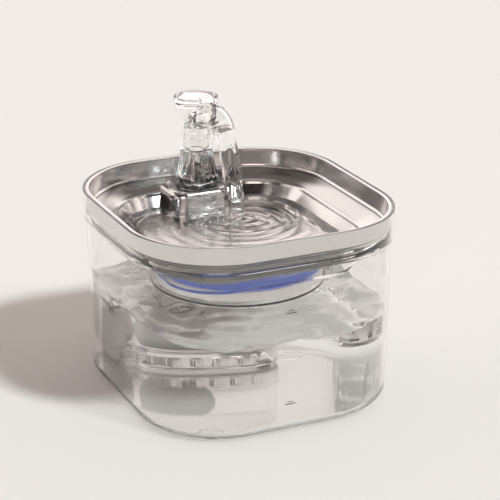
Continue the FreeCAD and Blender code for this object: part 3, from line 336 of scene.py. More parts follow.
def material(finish):
    """A finish's material, made once; its name keeps it apart from the solids' own materials."""
    name = "fountain_" + finish
    if name in bpy.data.materials:
        return bpy.data.materials[name]
    colours = bpy.context.scene.fountain_colours
    clear, water = tuple(colours.clear_tint), tuple(colours.water_tint)
    steel, blue = tuple(colours.steel), tuple(colours.blue_foam)
    recipes = {
        "clear_tank": (clear_material, clear, 1.46, 0.0, 0.00002, 25.0, 0.98),
        # Painted shade: a copy of the tank's plastic that passes less light, for the far walls and the
        # bottom
        "clear_tank_far": (clear_material, clear, 1.46, 0.0, 0.00002, 25.0, 0.82),
        "clear_tray": (clear_material, clear, 1.27, 0.0, 0.00003, 40.0, 1.0),
        "clear_faucet": (clear_material, (0.985, 0.985, 0.98), 1.47, 0.0, 0.00002, 80.0),
        "soft_clear": (clear_material, (0.93, 0.94, 0.94), 1.41, 0.12, 0.00003),
        "water": (clear_material, water, 1.333, 0.0, 0.00004, 90.0, 0.99),
        "water_bottom": (clear_material, (1.0, 1.0, 1.0), 1.0, 0.0, 0.0, 1.0, 0.99),
        "steel": (steel_material, steel, 0.16),
        # Painted shade: a darker copy of the steel for the tray's underside and its shaded runs
        "steel_under": (steel_material, (0.27, 0.26, 0.255), 0.2),
        # The second colour of each foam is the painted shade in its pores
        "blue_foam": (foam_material, blue, (0.06, 0.13, 0.66), 1400.0, 0.0002),
        "cotton": (foam_material, (0.95, 0.95, 0.96), (0.84, 0.84, 0.86), 1800.0, 0.00012),
        "carbon": (foam_material, (0.05, 0.05, 0.055), (0.01, 0.01, 0.01), 900.0, 0.0003),
        "pump_grey": (moulded_material, (0.62, 0.62, 0.63), 0.42),
        "impeller_blue": (moulded_material, (0.42, 0.52, 0.62), 0.38),
        "core_plates": (moulded_material, (0.33, 0.33, 0.34), 0.45, 1.0, 400.0),
        "copper": (moulded_material, (0.72, 0.33, 0.14), 0.3, 1.0, 1500.0),
        "potting": (moulded_material, (0.05, 0.05, 0.055), 0.35),
        "ferrite": (moulded_material, (0.07, 0.07, 0.075), 0.5, 0.4),
        "ceramic": (moulded_material, (0.86, 0.85, 0.82), 0.2),
        "black_rubber": (moulded_material, (0.03, 0.03, 0.03), 0.65),
        "mark_ink": (moulded_material, (0.03, 0.03, 0.035), 0.5),
    }
    maker, *values = recipes[finish]
    return maker(name, *values)


# Settings that a user would change
class FountainSizes(bpy.types.PropertyGroup):
    """Heights of the water and of the level marks, in millimetres."""
    tank_level: bpy.props.FloatProperty(
        name="Tank level", description="Height of the still water in the tank", default=66.0)
    pool_level: bpy.props.FloatProperty(
        name="Pool level", description="Height of the water in the drinking tray", default=111.5)
    ripple_height: bpy.props.FloatProperty(
        name="Ripple height", description="Height of the rings round the falling water", default=0.9)
    upper_mark: bpy.props.FloatProperty(
        name="Upper mark", description="Height of the highest level mark", default=88.5)
    lower_mark: bpy.props.FloatProperty(
        name="Lower mark", description="Height of the lowest level mark", default=23.0)


class FountainColours(bpy.types.PropertyGroup):
    """Colours of the main finishes."""
    clear_tint: bpy.props.FloatVectorProperty(
        name="Clear plastic", description="Tint of the clear plastic", subtype="COLOR", size=3,
        min=0.0, max=1.0, default=(0.975, 0.975, 0.972))
    water_tint: bpy.props.FloatVectorProperty(
        name="Water", description="Tint of the water", subtype="COLOR", size=3,
        min=0.0, max=1.0, default=(0.985, 0.988, 0.99))
    steel: bpy.props.FloatVectorProperty(
        name="Steel", description="Colour of the steel tray", subtype="COLOR", size=3,
        min=0.0, max=1.0, default=(0.73, 0.715, 0.71))
    blue_foam: bpy.props.FloatVectorProperty(
        name="Blue foam", description="Colour of the foam layer", subtype="COLOR", size=3,
        min=0.0, max=1.0, default=(0.10, 0.21, 0.95))
    floor: bpy.props.FloatVectorProperty(
        name="Floor", description="Colour of the floor", subtype="COLOR", size=3,
        min=0.0, max=1.0, default=(0.87, 0.84, 0.805))


# Tank
WALL = 2.0
FLARE = 2.25
DRAFT = 1.5
BASE_ROUND = 10.0
COLLAR_BOTTOM = 117.0
SHOULDER = 119.6
TANK_BOTTOM = 1.5
INSIDE_FLOOR = 4.0
BASE_INSET = FLARE + DRAFT
RIM_ROUND = 0.7
# The way to the lamp seen from above. Further from the lamp than FAR_SIDE, and lower than DARK_BOTTOM,
# the tank passes less light: painted shade that darkens its cast shadow and the floor inside its base
LAMP_SIDE = (0.49, -0.87)
FAR_SIDE = -35.0
DARK_BOTTOM = 5.0
# The left, right, lower and upper edge of a level mark's bars, the last two from the mark's height
MARK_BARS = ((-9.0, -1.0, -0.35, 0.35), (-7.0, -3.0, 1.4, 1.9))
MARK_PROUD = 0.02


def inner_wall_inset(height):
    """Inset of the tank's inner wall face at a height under the shoulder."""
    share = (height - INSIDE_FLOOR) / (SHOULDER - INSIDE_FLOOR)
    inset = BASE_INSET + WALL - DRAFT * share
    inner_round = BASE_ROUND - WALL
    if height < INSIDE_FLOOR + inner_round:
        rise = INSIDE_FLOOR + inner_round - height
        inset += inner_round - math.sqrt(max(inner_round ** 2 - rise ** 2, 0.0))
    return inset


class FOUNTAIN_OT_tank(bpy.types.Operator):
    """Make the clear tank and finish its feet"""
    bl_idname = "fountain.tank"
    bl_label = "Tank"

    def execute(self, context):
        inner_round = BASE_ROUND - WALL
        profile = [(DEEPEST_INSET, TANK_BOTTOM)]
        for x, z in arc(0, 0, BASE_ROUND, -90, 0, 10):
            profile.append((BASE_INSET + BASE_ROUND - x, TANK_BOTTOM + BASE_ROUND + z))
        profile += [(FLARE, COLLAR_BOTTOM), (FLARE * 0.62, COLLAR_BOTTOM + 0.45),
                    (FLARE * 0.3, COLLAR_BOTTOM + 1.2), (FLARE * 0.1, COLLAR_BOTTOM + 2.3),
                    (0.0, COLLAR_BOTTOM + 4.0)]
        for x, z in arc(0, 0, RIM_ROUND, 0, 90, 4):
            profile.append((RIM_ROUND - x, COLLAR_TOP - RIM_ROUND + z))
        for x, z in arc(0, 0, RIM_ROUND, 90, 180, 4):
            profile.append((WALL - RIM_ROUND - x, COLLAR_TOP - RIM_ROUND + z))
        profile += [(WALL, SHOULDER), (FLARE + WALL, SHOULDER - 0.05),
                    (FLARE + WALL + 0.01, SHOULDER - 0.6)]
        for x, z in arc(0, 0, inner_round, 0, -90, 10):
            profile.append((BASE_INSET + BASE_ROUND - x, INSIDE_FLOOR + inner_round + z))
        profile.append((DEEPEST_INSET, INSIDE_FLOOR))
        loops = [inset_loop(inset, height) for inset, height in supported(profile)[0]]
        tank = skin("tank_shell", loops, 50.0)
        finish_piece(tank, "tank", "clear_plastic", material("clear_tank"), "tank")
        # Painted shade: the walls away from the lamp and the bottom pass less light than the rest
        tank.data.materials.append(material("clear_tank_far"))
        for face in tank.data.polygons:
            side = face.center.x * LAMP_SIDE[0] + face.center.y * LAMP_SIDE[1]
            if side < FAR_SIDE * MM or face.center.z < DARK_BOTTOM * MM:
                face.material_index = 1
        paint_node("tank_feet", material("clear_tray"))
        return {"FINISHED"}


class FOUNTAIN_OT_marks(bpy.types.Operator):
    """Make the two plain level marks on the front wall"""
    bl_idname = "fountain.marks"
    bl_label = "Level marks"

    def execute(self, context):
        sizes = context.scene.fountain_sizes
        for name, height in (("upper", sizes.upper_mark), ("lower", sizes.lower_mark)):
            share = (height - TANK_BOTTOM) / (COLLAR_BOTTOM - TANK_BOTTOM)
            face = -(COLLAR_HALF_Y - BASE_INSET + DRAFT * share) - MARK_PROUD
            work = bmesh.new()
            for left, right, lower, upper in MARK_BARS:
                low, high = height + lower, height + upper
                corners = [(left, low), (right, low), (right, high), (left, high)]
                front = [work.verts.new(Vector((x, face, z)) * MM) for x, z in corners]
                work.faces.new(front)
            mesh = bpy.data.meshes.new("level_mark_" + name)
            work.to_mesh(mesh)
            work.free()
            mark = bpy.data.objects.new("level_mark_" + name, mesh)
            context.scene.collection.objects.link(mark)
            finish_piece(mark, "tank", "clear_plastic", material("mark_ink"))
        return {"FINISHED"}


# Support tray and filter basket
BASKET_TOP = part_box("filter_basket")[1].z / MM
BASKET_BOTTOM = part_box("filter_basket")[0].z / MM
BASKET_RADIUS = 61.5
BASKET_WALL = 1.6
SEAT = BASKET_TOP - 1.4
FOAM_TOP = BASKET_TOP - 0.2
# The unevenness of the filter's edge: how fine, how deep, and in metres how far out it begins
FIBRE_SCALE = 320
FIBRE_DEPTH = 0.12
FIBRE_FROM = 0.03


class FOUNTAIN_OT_support(bpy.types.Operator):
    """Make the clear support tray and the filter basket"""
    bl_idname = "fountain.support"
    bl_label = "Support tray and basket"

    def execute(self, context):
        paint_node("support_tray", material("clear_tray"))
        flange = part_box("filter_basket")[1].x / MM
        profile = [(0.1, BASKET_BOTTOM)]
        profile += [(BASKET_RADIUS - BASKET_WALL + x, BASKET_BOTTOM + BASKET_WALL + z)
                    for x, z in arc(0, 0, BASKET_WALL, -90, 0, 6)]
        profile += [(BASKET_RADIUS, SEAT - 0.4), (BASKET_RADIUS + 0.3, SEAT), (flange - 0.3, SEAT),
                    (flange, SEAT + 0.3), (flange, BASKET_TOP - 0.3), (flange - 0.3, BASKET_TOP),
                    (BASKET_RADIUS - BASKET_WALL + 0.3, BASKET_TOP),
                    (BASKET_RADIUS - BASKET_WALL, BASKET_TOP - 0.4)]
        profile += [(BASKET_RADIUS - BASKET_WALL - 1.0 + x, BASKET_BOTTOM + BASKET_WALL + 1.0 + z)
                    for x, z in arc(0, 0, 1.0, 0, -90, 5)]
        profile.append((0.1, BASKET_BOTTOM + BASKET_WALL))
        basket = lathe("basket_cup", supported(profile)[0], count=144)
        finish_piece(basket, "support", "clear_plastic", material("clear_tray"), "filter_basket")
        return {"FINISHED"}


class FOUNTAIN_OT_filter(bpy.types.Operator):
    """Make the blue foam and the white cotton of the filter"""
    bl_idname = "fountain.filter"
    bl_label = "Filter"

    def execute(self, context):
        for node, name, finish, edge in (("blue_sponge", "foam_layer", "blue_foam", 1.2),
                                         ("white_cotton", "cotton_layer", "cotton", 1.6)):
            low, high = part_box(node)
            radius, bottom, top = high.x / MM, low.z / MM, high.z / MM
            if node == "blue_sponge":
                top = FOAM_TOP
            profile = [(0.1, bottom)]
            profile += [(radius - edge + x, bottom + edge + z) for x, z in arc(0, 0, edge, -90, 0, 5)]
            profile += [(radius - 0.12, (bottom + top) / 2)]
            profile += [(radius - edge + x, top - edge + z) for x, z in arc(0, 0, edge, 0, 90, 5)]
            profile.append((0.1, top))
            layer = lathe(name, profile, count=160, joined=False)
            for vertex in layer.data.vertices:
                wobble = noise.noise(vertex.co * FIBRE_SCALE) * FIBRE_DEPTH * MM
                side = Vector((vertex.co.x, vertex.co.y, 0))
                if side.length > FIBRE_FROM:
                    vertex.co += side.normalized() * min(wobble, 0)
            finish_piece(layer, "filter", finish, material(finish), node)
        paint_node("carbon_pad", material("carbon"))
        return {"FINISHED"}


class FOUNTAIN_OT_pump(bpy.types.Operator):
    """Finish the pump and the riser tube"""
    bl_idname = "fountain.pump"
    bl_label = "Pump"

    def execute(self, context):
        finishes = {
            "pump_base": "clear_tray", "pump_cover": "clear_tray", "pump_body": "pump_grey",
            "stator_core": "core_plates", "stator_coil": "copper", "potting_plug": "potting",
            "pump_shaft": "ceramic", "shaft_bushes": "black_rubber", "rotor_magnet": "ferrite",
            "impeller": "impeller_blue", "impeller_cover": "pump_grey", "cable_gland": "black_rubber",
            "riser_tube": "soft_clear", "suction_cups": "soft_clear",
        }
        for node, finish in finishes.items():
            paint_node(node, material(finish))
        return {"FINISHED"}


# Steel tray
TRAY_INSET = WALL + 0.3
BAND_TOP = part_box("drinking_tray")[1].z / MM
BAND_BOTTOM = 127.6
BAND_WIDTH = 2.2
LEDGE_HEIGHT = 126.5
LEDGE_LOW = 121.0
LEDGE_WIDTH = 17.5
POOL_FLOOR = 103.0
POOL_RUN = 10.0
STEEL = 0.8
WALL_IN = TRAY_INSET + BAND_WIDTH + 1.0
LEDGE_IN = WALL_IN + LEDGE_WIDTH
POOL_IN = LEDGE_IN + POOL_RUN
# Runs of the tray's profile that get the darker steel as painted shade: the groove at the wall's foot,
# the band's inner edge, and the band's lower edge with the wall under it
SHADOW_ROWS = (10, 11, 16, 22, 23, 24, 25, 26, 27, 28)
# A face of the tray whose normal has a smaller Z than this belongs to the underside, which gets
# painted shade
UNDER_SLOPE = -0.15
ISLAND_TOP = 125.0
ISLAND_HALF = 24.0
ISLAND_CORNER = 11.0
ISLAND_STEPS = (14, 10)
# How far the island's left flank flares at its foot; the share of that at mid-depth, and what the
# way to the back adds to the share
ISLAND_FLARE = 12.0
FLARE_SHARES = (0.55, 0.45)
ISLAND_FRONT = FAUCET_Y - 17.0
ISLAND_BACK = FAUCET_Y + 23.0


class FOUNTAIN_OT_tray(bpy.types.Operator):
    """Make the steel drinking tray with its island"""
    bl_idname = "fountain.tray"
    bl_label = "Drinking tray"

    def execute(self, context):
        profile = [(DEEPEST_INSET, POOL_FLOOR), (POOL_IN + 5.0, POOL_FLOOR),
                   (POOL_IN + 3.2, POOL_FLOOR + 0.35), (POOL_IN + 1.2, POOL_FLOOR + 1.4),
                   (POOL_IN - 0.6, POOL_FLOOR + 3.2),
                   (LEDGE_IN + 1.1, LEDGE_LOW - 2.6), (LEDGE_IN + 0.3, LEDGE_LOW - 1.0),
                   (LEDGE_IN - 0.6, LEDGE_LOW - 0.1), (LEDGE_IN - 2.0, LEDGE_LOW + 0.55),
                   (WALL_IN + 3.0, LEDGE_HEIGHT - 0.95), (WALL_IN + 2.4, LEDGE_HEIGHT - 1.15),
                   (WALL_IN + 1.9, LEDGE_HEIGHT - 1.1), (WALL_IN + 1.4, LEDGE_HEIGHT - 0.5),
                   (WALL_IN + 0.7, LEDGE_HEIGHT - 0.1), (WALL_IN + 0.15, LEDGE_HEIGHT + 0.5),
                   (WALL_IN, LEDGE_HEIGHT + 1.4), (TRAY_INSET + BAND_WIDTH, BAND_TOP - 0.8)]
        profile += [(TRAY_INSET + BAND_WIDTH - 0.55 + x, BAND_TOP - 0.55 + z)
                    for x, z in [(0.4, 0.3), (0.0, 0.55)]]
        profile += [(TRAY_INSET + 0.55, BAND_TOP), (TRAY_INSET + 0.12, BAND_TOP - 0.2),
                    (TRAY_INSET, BAND_TOP - 0.7), (TRAY_INSET, BAND_BOTTOM + 0.4),
                    (TRAY_INSET + 0.3, BAND_BOTTOM), (TRAY_INSET + 0.9, BAND_BOTTOM + 0.3),
                    (TRAY_INSET + 1.2, BAND_BOTTOM + 2.0), (WALL_IN - STEEL, BAND_BOTTOM + 1.0),
                    (WALL_IN - STEEL, LEDGE_HEIGHT - 0.2), (WALL_IN, LEDGE_HEIGHT - STEEL - 0.1),
                    (LEDGE_IN - 0.4, LEDGE_LOW - STEEL), (LEDGE_IN, LEDGE_LOW - 2.6),
                    (POOL_IN - 1.0, POOL_FLOOR + 2.6), (POOL_IN + 2.0, POOL_FLOOR - 0.1),
                    (POOL_IN + 5.0, POOL_FLOOR - STEEL), (DEEPEST_INSET, POOL_FLOOR - STEEL)]
        profile, rows = supported(profile)
        tray = skin("tray_shell", [inset_loop(inset, height) for inset, height in profile], 60.0)
        finish_piece(tray, "tray", "steel", material("steel"), "drinking_tray")
        # The darker steel is painted shade on the underside, in the groove and on the band's edges
        tray.data.materials.append(material("steel_under"))
        around = len(inset_loop(0.0, 0.0))
        for number, face in enumerate(tray.data.polygons):
            row = min(number // around, len(rows) - 1)
            if face.normal.z < UNDER_SLOPE or rows[row] in SHADOW_ROWS:
                face.material_index = 1
        middle = (ISLAND_FRONT + ISLAND_BACK) / 2
        half_y = (ISLAND_BACK - ISLAND_FRONT) / 2
        profile = [(3.4, POOL_FLOOR + 0.05), (1.6, POOL_FLOOR + 0.5), (0.6, POOL_FLOOR + 1.4),
                   (0.1, POOL_FLOOR + 3.0), (-0.9, ISLAND_TOP - 4.0), (-1.3, ISLAND_TOP - 2.2),
                   (-2.2, ISLAND_TOP - 0.8), (-3.6, ISLAND_TOP - 0.15), (-5.4, ISLAND_TOP),
                   (-8.0, ISLAND_TOP)]
        loops = []
        for grow, height in supported(profile)[0]:
            flare = ISLAND_FLARE * (ISLAND_TOP - height) / (ISLAND_TOP - POOL_FLOOR)
            loop = rounded_loop(ISLAND_HALF + grow, half_y + grow, ISLAND_CORNER + grow, height,
                                *ISLAND_STEPS)
            for point in loop:
                if point.x < 0:
                    share = FLARE_SHARES[0] + FLARE_SHARES[1] * point.y / half_y
                    point.x += flare * point.x / ISLAND_HALF * share
            loops.append([point + Vector((0, middle, 0)) for point in loop])
        island = skin("tray_island", loops, 70.0)
        finish_piece(island, "tray", "steel", material("steel"))
        paint_node("faucet_nut", material("clear_tray"))
        paint_node("stem_gasket", material("soft_clear"))
        return {"FINISHED"}


# Faucet
STEM_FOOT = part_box("stem_gasket")[1].z / MM
# The stem's ribs: how many, how deep, the level on them that stays on the stem's turned surface,
# and the radius and heights between which they lie
STEM_RIBS = 12
RIB_DEPTH = 0.9
RIB_MEAN = 0.8
RIB_RADIUS = 10.0
RIB_FOOT = STEM_FOOT + 3.0
RIB_TOP = 152.0
SPOUT_TURN = 18.0
SPOUT_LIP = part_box("faucet_spout")[0].z / MM
SPOUT_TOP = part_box("faucet_spout")[1].z / MM
# The distance of the spout's flat front from the faucet axis, outside and inside
FLAT_OUTSIDE = 13.4
FLAT_INSIDE = 11.2
NOZZLE_HALF = 9.5
NOZZLE_CORNER = 4.5
NOZZLE_WALL = 1.7
# The hood's sections: place from the faucet axis, height, and half of the section's depth
HOOD_PATH = ((-4.0, 176.0, 6.0), (-9.0, 178.6, 7.4), (-14.0, 180.3, 7.6), (-18.5, 180.2, 7.2),
             (-22.5, 178.7, 6.6), (-25.6, 176.0, 6.1), (-27.3, 173.0, 5.8), (-27.9, 170.2, 5.7))


class FOUNTAIN_OT_stem(bpy.types.Operator):
    """Make the clear faucet stem"""
    bl_idname = "fountain.stem"
    bl_label = "Faucet stem"

    def execute(self, context):
        low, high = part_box("faucet_stem")
        neck_top = high.z / MM
        profile = [(5.0, neck_top - 0.4), (5.0, 117.0), (3.4, 115.4), (3.4, low.z / MM),
                   (4.9, low.z / MM), (4.9, 112.0), (7.0, 112.0), (7.0, STEM_FOOT),
                   (16.1, STEM_FOOT), (16.6, STEM_FOOT + 0.5), (16.6, STEM_FOOT + 2.2),
                   (16.2, STEM_FOOT + 2.9), (15.5, STEM_FOOT + 4.2), (14.7, STEM_FOOT + 8.0),
                   (13.6, STEM_FOOT + 13.5), (12.3, STEM_FOOT + 20.0), (11.6, STEM_FOOT + 25.0),
                   (11.4, 152.9), (11.0, 153.5), (9.4, 153.6), (9.0, 154.0),
                   (9.0, 162.1), (8.1, 162.1), (8.1, 163.9), (9.0, 163.9), (9.0, neck_top - 0.6),
                   (8.4, neck_top), (5.6, neck_top)]
        stem = lathe("stem_body", supported(profile)[0], 0.0, FAUCET_Y, 144, 25.0)
        middle = Vector((0, FAUCET_Y * MM, 0))
        for vertex in stem.data.vertices:
            side = (vertex.co - middle) * Vector((1, 1, 0))
            height = vertex.co.z / MM
            if side.length / MM > RIB_RADIUS and RIB_FOOT < height < RIB_TOP:
                turn = math.atan2(side.y, side.x)
                rib = abs(math.sin(turn * STEM_RIBS / 2)) - RIB_MEAN
                vertex.co += side.normalized() * rib * RIB_DEPTH * MM
        finish_piece(stem, "tray", "clear_acrylic_faucet", material("clear_faucet"), "faucet_stem")
        paint_node("spout_seal", material("soft_clear"))
        return {"FINISHED"}


def spout_place(x, y, z):
    """The place, in millimetres, of a point given from the faucet axis with the nozzle towards -Y."""
    turn = math.radians(SPOUT_TURN)
    return Vector((x * math.cos(turn) - y * math.sin(turn),
                   FAUCET_Y + x * math.sin(turn) + y * math.cos(turn), z))


def spout_loop(radius, height, flat):
    """A circle about the faucet axis with a flat front."""
    loop = []
    for point in circle_loop(radius, height):
        loop.append(spout_place(point.x, max(point.y, -flat), height))
    return loop


def chute(name, inset):
    """The nozzle's hood: rounded sections along a path that bends down to the mouth.

    With an inset it is the waterway, whose last section lies outside the mouth.
    """
    last = len(HOOD_PATH) - 1
    loops = []
    for number, (y, z, half) in enumerate(HOOD_PATH):
        before, after = HOOD_PATH[max(number - 1, 0)], HOOD_PATH[min(number + 1, last)]
        along = Vector((0, after[0] - before[0], after[1] - before[1])).normalized()
        across = Vector((0, -along.z, along.y))
        corner = min(half - inset - 0.6, NOZZLE_CORNER)
        section = rounded_loop(NOZZLE_HALF - inset, half - inset, corner, 0, 5, 4)
        end = inset * (0.6 if number == last else 0)
        loops.append([spout_place(p.x, y + across.y * p.y + along.y * end,
                                  z + across.z * p.y + along.z * end) for p in section])
    return skin(name, loops, 50.0)


class FOUNTAIN_OT_spout(bpy.types.Operator):
    """Make the swivelling spout"""
    bl_idname = "fountain.spout"
    bl_label = "Spout"

    def execute(self, context):
        lip, top = SPOUT_LIP, SPOUT_TOP
        outside = [(0.05, top), (14.4, top), (15.2, top - 0.25), (15.75, top - 0.8),
                   (15.9, top - 1.6)]
        outside += [(15.9 - 3.9 * share, top - 1.6 - (top - lip - 3.0) * share)
                    for share in (0.12, 0.25, 0.4, 0.55, 0.7, 0.85, 1.0)]
        outside += [(11.9, lip + 0.7), (11.6, lip + 0.15), (11.1, lip)]
        loops = [spout_loop(radius, height, FLAT_OUTSIDE - 0.35 * max(0.0, 1.4 - (top - height)))
                 for radius, height in outside]
        inside = [(9.5, lip), (9.1, lip + 0.4), (9.1, 171.5), (9.4, 173.4), (10.6, 180.0),
                  (11.4, 184.6), (11.2, 186.2), (10.2, 187.2), (8.8, 187.5), (0.05, 187.5)]
        loops += [spout_loop(radius, height, FLAT_INSIDE) for radius, height in inside]
        cap = skin("spout_cap", loops, 40.0)
        hood = combine(cap, chute("spout_hood", 0.0), "UNION")
        spout = combine(hood, chute("spout_waterway", NOZZLE_WALL), "DIFFERENCE")
        spout.name = "spout_body"
        tidy(spout, 40.0)
        finish_piece(spout, "spout", "clear_acrylic_faucet", material("clear_faucet"), "faucet_spout")
        return {"FINISHED"}


# Water
WATER_GAP = 0.15
# Steps of the corners and of the straight sides, and the number of rings, of each surface
TANK_FINE = (24, 16)
TANK_RINGS = 44
POOL_FINE = (30, 20)
POOL_RINGS = 64
# A face of the tank's water whose normal has a smaller Z than this belongs to its bottom
BOTTOM_SLOPE = -0.5
# The tank's water climbs at the left, from CLIMB_START over CLIMB_RUN, ever more steeply
CLIMB_START = -55.0
CLIMB_RUN = 35.0
CLIMB = 11.0
CLIMB_POWER = 1.6
# Height, scale along X and Y, and layer of the noise in the tank's waves
TANK_WAVES = ((3.0, 0.028, 0.028, 3.1), (1.4, 0.07, 0.09, 7.7))
RIDGE_HEIGHT = 3.2
RIDGE_POWER = 8
# The rings where the falling water meets the pool, and how soon they fade
POOL_CENTRE = Vector((16.0, 25.0, 0.0))
RING_FADE = 26.0
RING_PITCH = 0.62
# Single crests in the pool: distance from the rings' centre, width, direction and spread
POOL_CRESTS = ((31.0, 1.5, 0.2, 0.9), (40.0, 1.8, -0.1, 0.8), (27.0, 1.4, -1.9, 0.9))
CREST_HEIGHT = 1.2
# The stream: where it leaves the nozzle, how far it is thrown, and its half sizes at the top
STREAM_TOP = 174.5
STREAM_OUT = -26.8
STREAM_THROW = 15.0
STREAM_HALF_WIDE = 8.6
STREAM_HALF_DEEP = 3.6
STREAM_STEPS = 44
STREAM_POINTS = 72


def tank_surface(x, y, level):
    """Height of the moving water in the tank."""
    left = max(0.0, -(x - CLIMB_START)) / CLIMB_RUN
    height = level + CLIMB * left ** CLIMB_POWER
    for swing, along, across, layer in TANK_WAVES:
        height += swing * noise.noise(Vector((x * along, y * across, layer)))
    ridge = 1.0 - abs(noise.noise(Vector((x * 0.022 + 4.0, y * 0.040, 5.2))))
    height += RIDGE_HEIGHT * ridge ** RIDGE_POWER
    height += 0.5 * math.sin(math.hypot(x - 10, y - 10) * 0.35)
    return height


def pool_surface(x, y, sizes):
    """Height of the rippled water in the drinking tray."""
    reach = math.hypot(x - POOL_CENTRE.x, (y - POOL_CENTRE.y) * 1.1)
    fade = math.exp(-reach / RING_FADE)
    rings = math.cos(reach * RING_PITCH) + 0.3 * math.cos(reach * 2 * RING_PITCH)
    side = math.atan2(y - POOL_CENTRE.y, x - POOL_CENTRE.x)
    crests = 0.0
    for distance, width, middle, spread in POOL_CRESTS:
        bow = ((reach - distance) / width) ** 2
        crests += CREST_HEIGHT * math.exp(-bow - ((side - middle) / spread) ** 2)
    swell = 0.2 * noise.noise(Vector((x * 0.05, y * 0.05, 1.3)))
    return sizes.pool_level + sizes.ripple_height * fade * rings + crests + swell


def surface_rings(edge, count, height_at):
    """Loops that draw in from an edge loop to its middle, each point at the surface's height."""
    loops = []
    for ring in range(count):
        share = 1.0 - ring / count
        loops.append([Vector((p.x * share, p.y * share, height_at(p.x * share, p.y * share)))
                      for p in edge])
    return loops


class FOUNTAIN_OT_water(bpy.types.Operator):
    """Make the water in the tank and in the tray"""
    bl_idname = "fountain.water"
    bl_label = "Water"

    def execute(self, context):
        sizes = context.scene.fountain_sizes
        self.add_tank_water(sizes)
        self.add_pool_water(sizes)
        return {"FINISHED"}

    def add_tank_water(self, sizes):
        level = sizes.tank_level
        loops = [inset_loop(DEEPEST_INSET, INSIDE_FLOOR + WATER_GAP, *TANK_FINE)]
        for rise in (0.0, 0.4, 1.2, 2.4, 4.0, 6.0, 8.0):
            height = INSIDE_FLOOR + WATER_GAP + rise
            loops.append(inset_loop(inner_wall_inset(height) + WATER_GAP, height, *TANK_FINE))
        edge = inset_loop(inner_wall_inset(level) + WATER_GAP, level, *TANK_FINE)
        loops += surface_rings(edge, TANK_RINGS, lambda x, y: tank_surface(x, y, level))
        water = skin("tank_water", loops, 60.0)
        finish_piece(water, "tank", "clear_plastic", material("water"))
        water.data.materials.append(material("water_bottom"))
        for face in water.data.polygons:
            if face.normal.z < BOTTOM_SLOPE:
                face.material_index = 1

    def add_pool_water(self, sizes):
        level = sizes.pool_level
        drop_in = (level - POOL_FLOOR) / (LEDGE_LOW - POOL_FLOOR)
        edge = inset_loop(POOL_IN - POOL_RUN * drop_in - 0.05, level, *POOL_FINE)
        loops = [inset_loop(DEEPEST_INSET, POOL_FLOOR - 0.1, *POOL_FINE),
                 inset_loop(POOL_IN + 4.0, POOL_FLOOR - 0.1, *POOL_FINE)]
        loops += surface_rings(edge, POOL_RINGS, lambda x, y: pool_surface(x, y, sizes))
        pool = skin("pool_water", loops, 60.0)
        finish_piece(pool, "tray", "clear_plastic", material("water"))


class FOUNTAIN_OT_stream(bpy.types.Operator):
    """Make the falling stream of water"""
    bl_idname = "fountain.stream"
    bl_label = "Stream"

    def execute(self, context):
        end = context.scene.fountain_sizes.pool_level - 0.8
        loops = []
        for step in range(STREAM_STEPS + 1):
            share = step / STREAM_STEPS
            height = STREAM_TOP + (end - STREAM_TOP) * share
            reach = STREAM_OUT - STREAM_THROW * math.sqrt(share)
            half_wide = STREAM_HALF_WIDE - 0.8 * share
            half_deep = STREAM_HALF_DEEP - 0.4 * share + 1.2 * max(0.0, share - 0.9) * 10
            loop = []
            for number in range(STREAM_POINTS):
                angle = 2 * math.pi * number / STREAM_POINTS
                strand = share ** 0.6 * (0.20 * math.sin(3 * angle + 5.5 * share)
                                         + 0.12 * math.sin(5 * angle - 8.0 * share))
                where = Vector((math.cos(angle) * 1.4, math.sin(angle) * 1.4, share * 6))
                swell = 1.0 + strand + 0.16 * noise.noise(where)
                loop.append(spout_place(half_wide * swell * math.cos(angle),
                                        reach + half_deep * swell * math.sin(angle), height))
            loops.append(loop)
        stream = skin("water_stream", loops, 80.0)
        finish_piece(stream, "spout", "clear_acrylic_faucet", material("water"))
        return {"FINISHED"}


# Stage
# The camera was fitted to the outlines in the photograph; its angles are in degrees
CAMERA_TURN = -24.632
CAMERA_RISE = 20.299
CAMERA_DISTANCE = 1288.07
CAMERA_AIM = (9.413, 26.522)
CAMERA_AIM_HEIGHT = 70.0
FOCAL_PIXELS = 1834.0
PHOTO_PIXELS = 500.0
SENSOR = 36.0
# Colours of the light round the object: front, its soft boxes, ceiling, overhead and back
ROOM_DARK = (0.012, 0.010, 0.009)
ROOM_BOX = (1.80, 1.56, 1.48)
ROOM_CEILING = (0.16, 0.138, 0.13)
ROOM_TOP = (0.45, 0.40, 0.38)
ROOM_BACK = (1.42, 1.29, 1.24)
BOX_COUNT = 4.0
CLEAR_BOUNCES = 28
MIRROR_BOUNCES = 8
# Half the floor's side in metres, and how far it lies under the fountain's feet
FLOOR_REACH = 6.0
FLOOR_DROP = 0.1
# Name, kind, place in metres, size, power, colour, and whether the lamp is seen in mirror images
LAMPS = (
    ("key_lamp", "SUN", (2.0, -3.56, 4.38), 0.126, 2.35, (0.90, 0.98, 1.0), False),
    ("glint_lamp", "AREA", (1.0, -1.78, 2.19), 0.30, 3.0, (1.0, 1.0, 1.0), True),
)


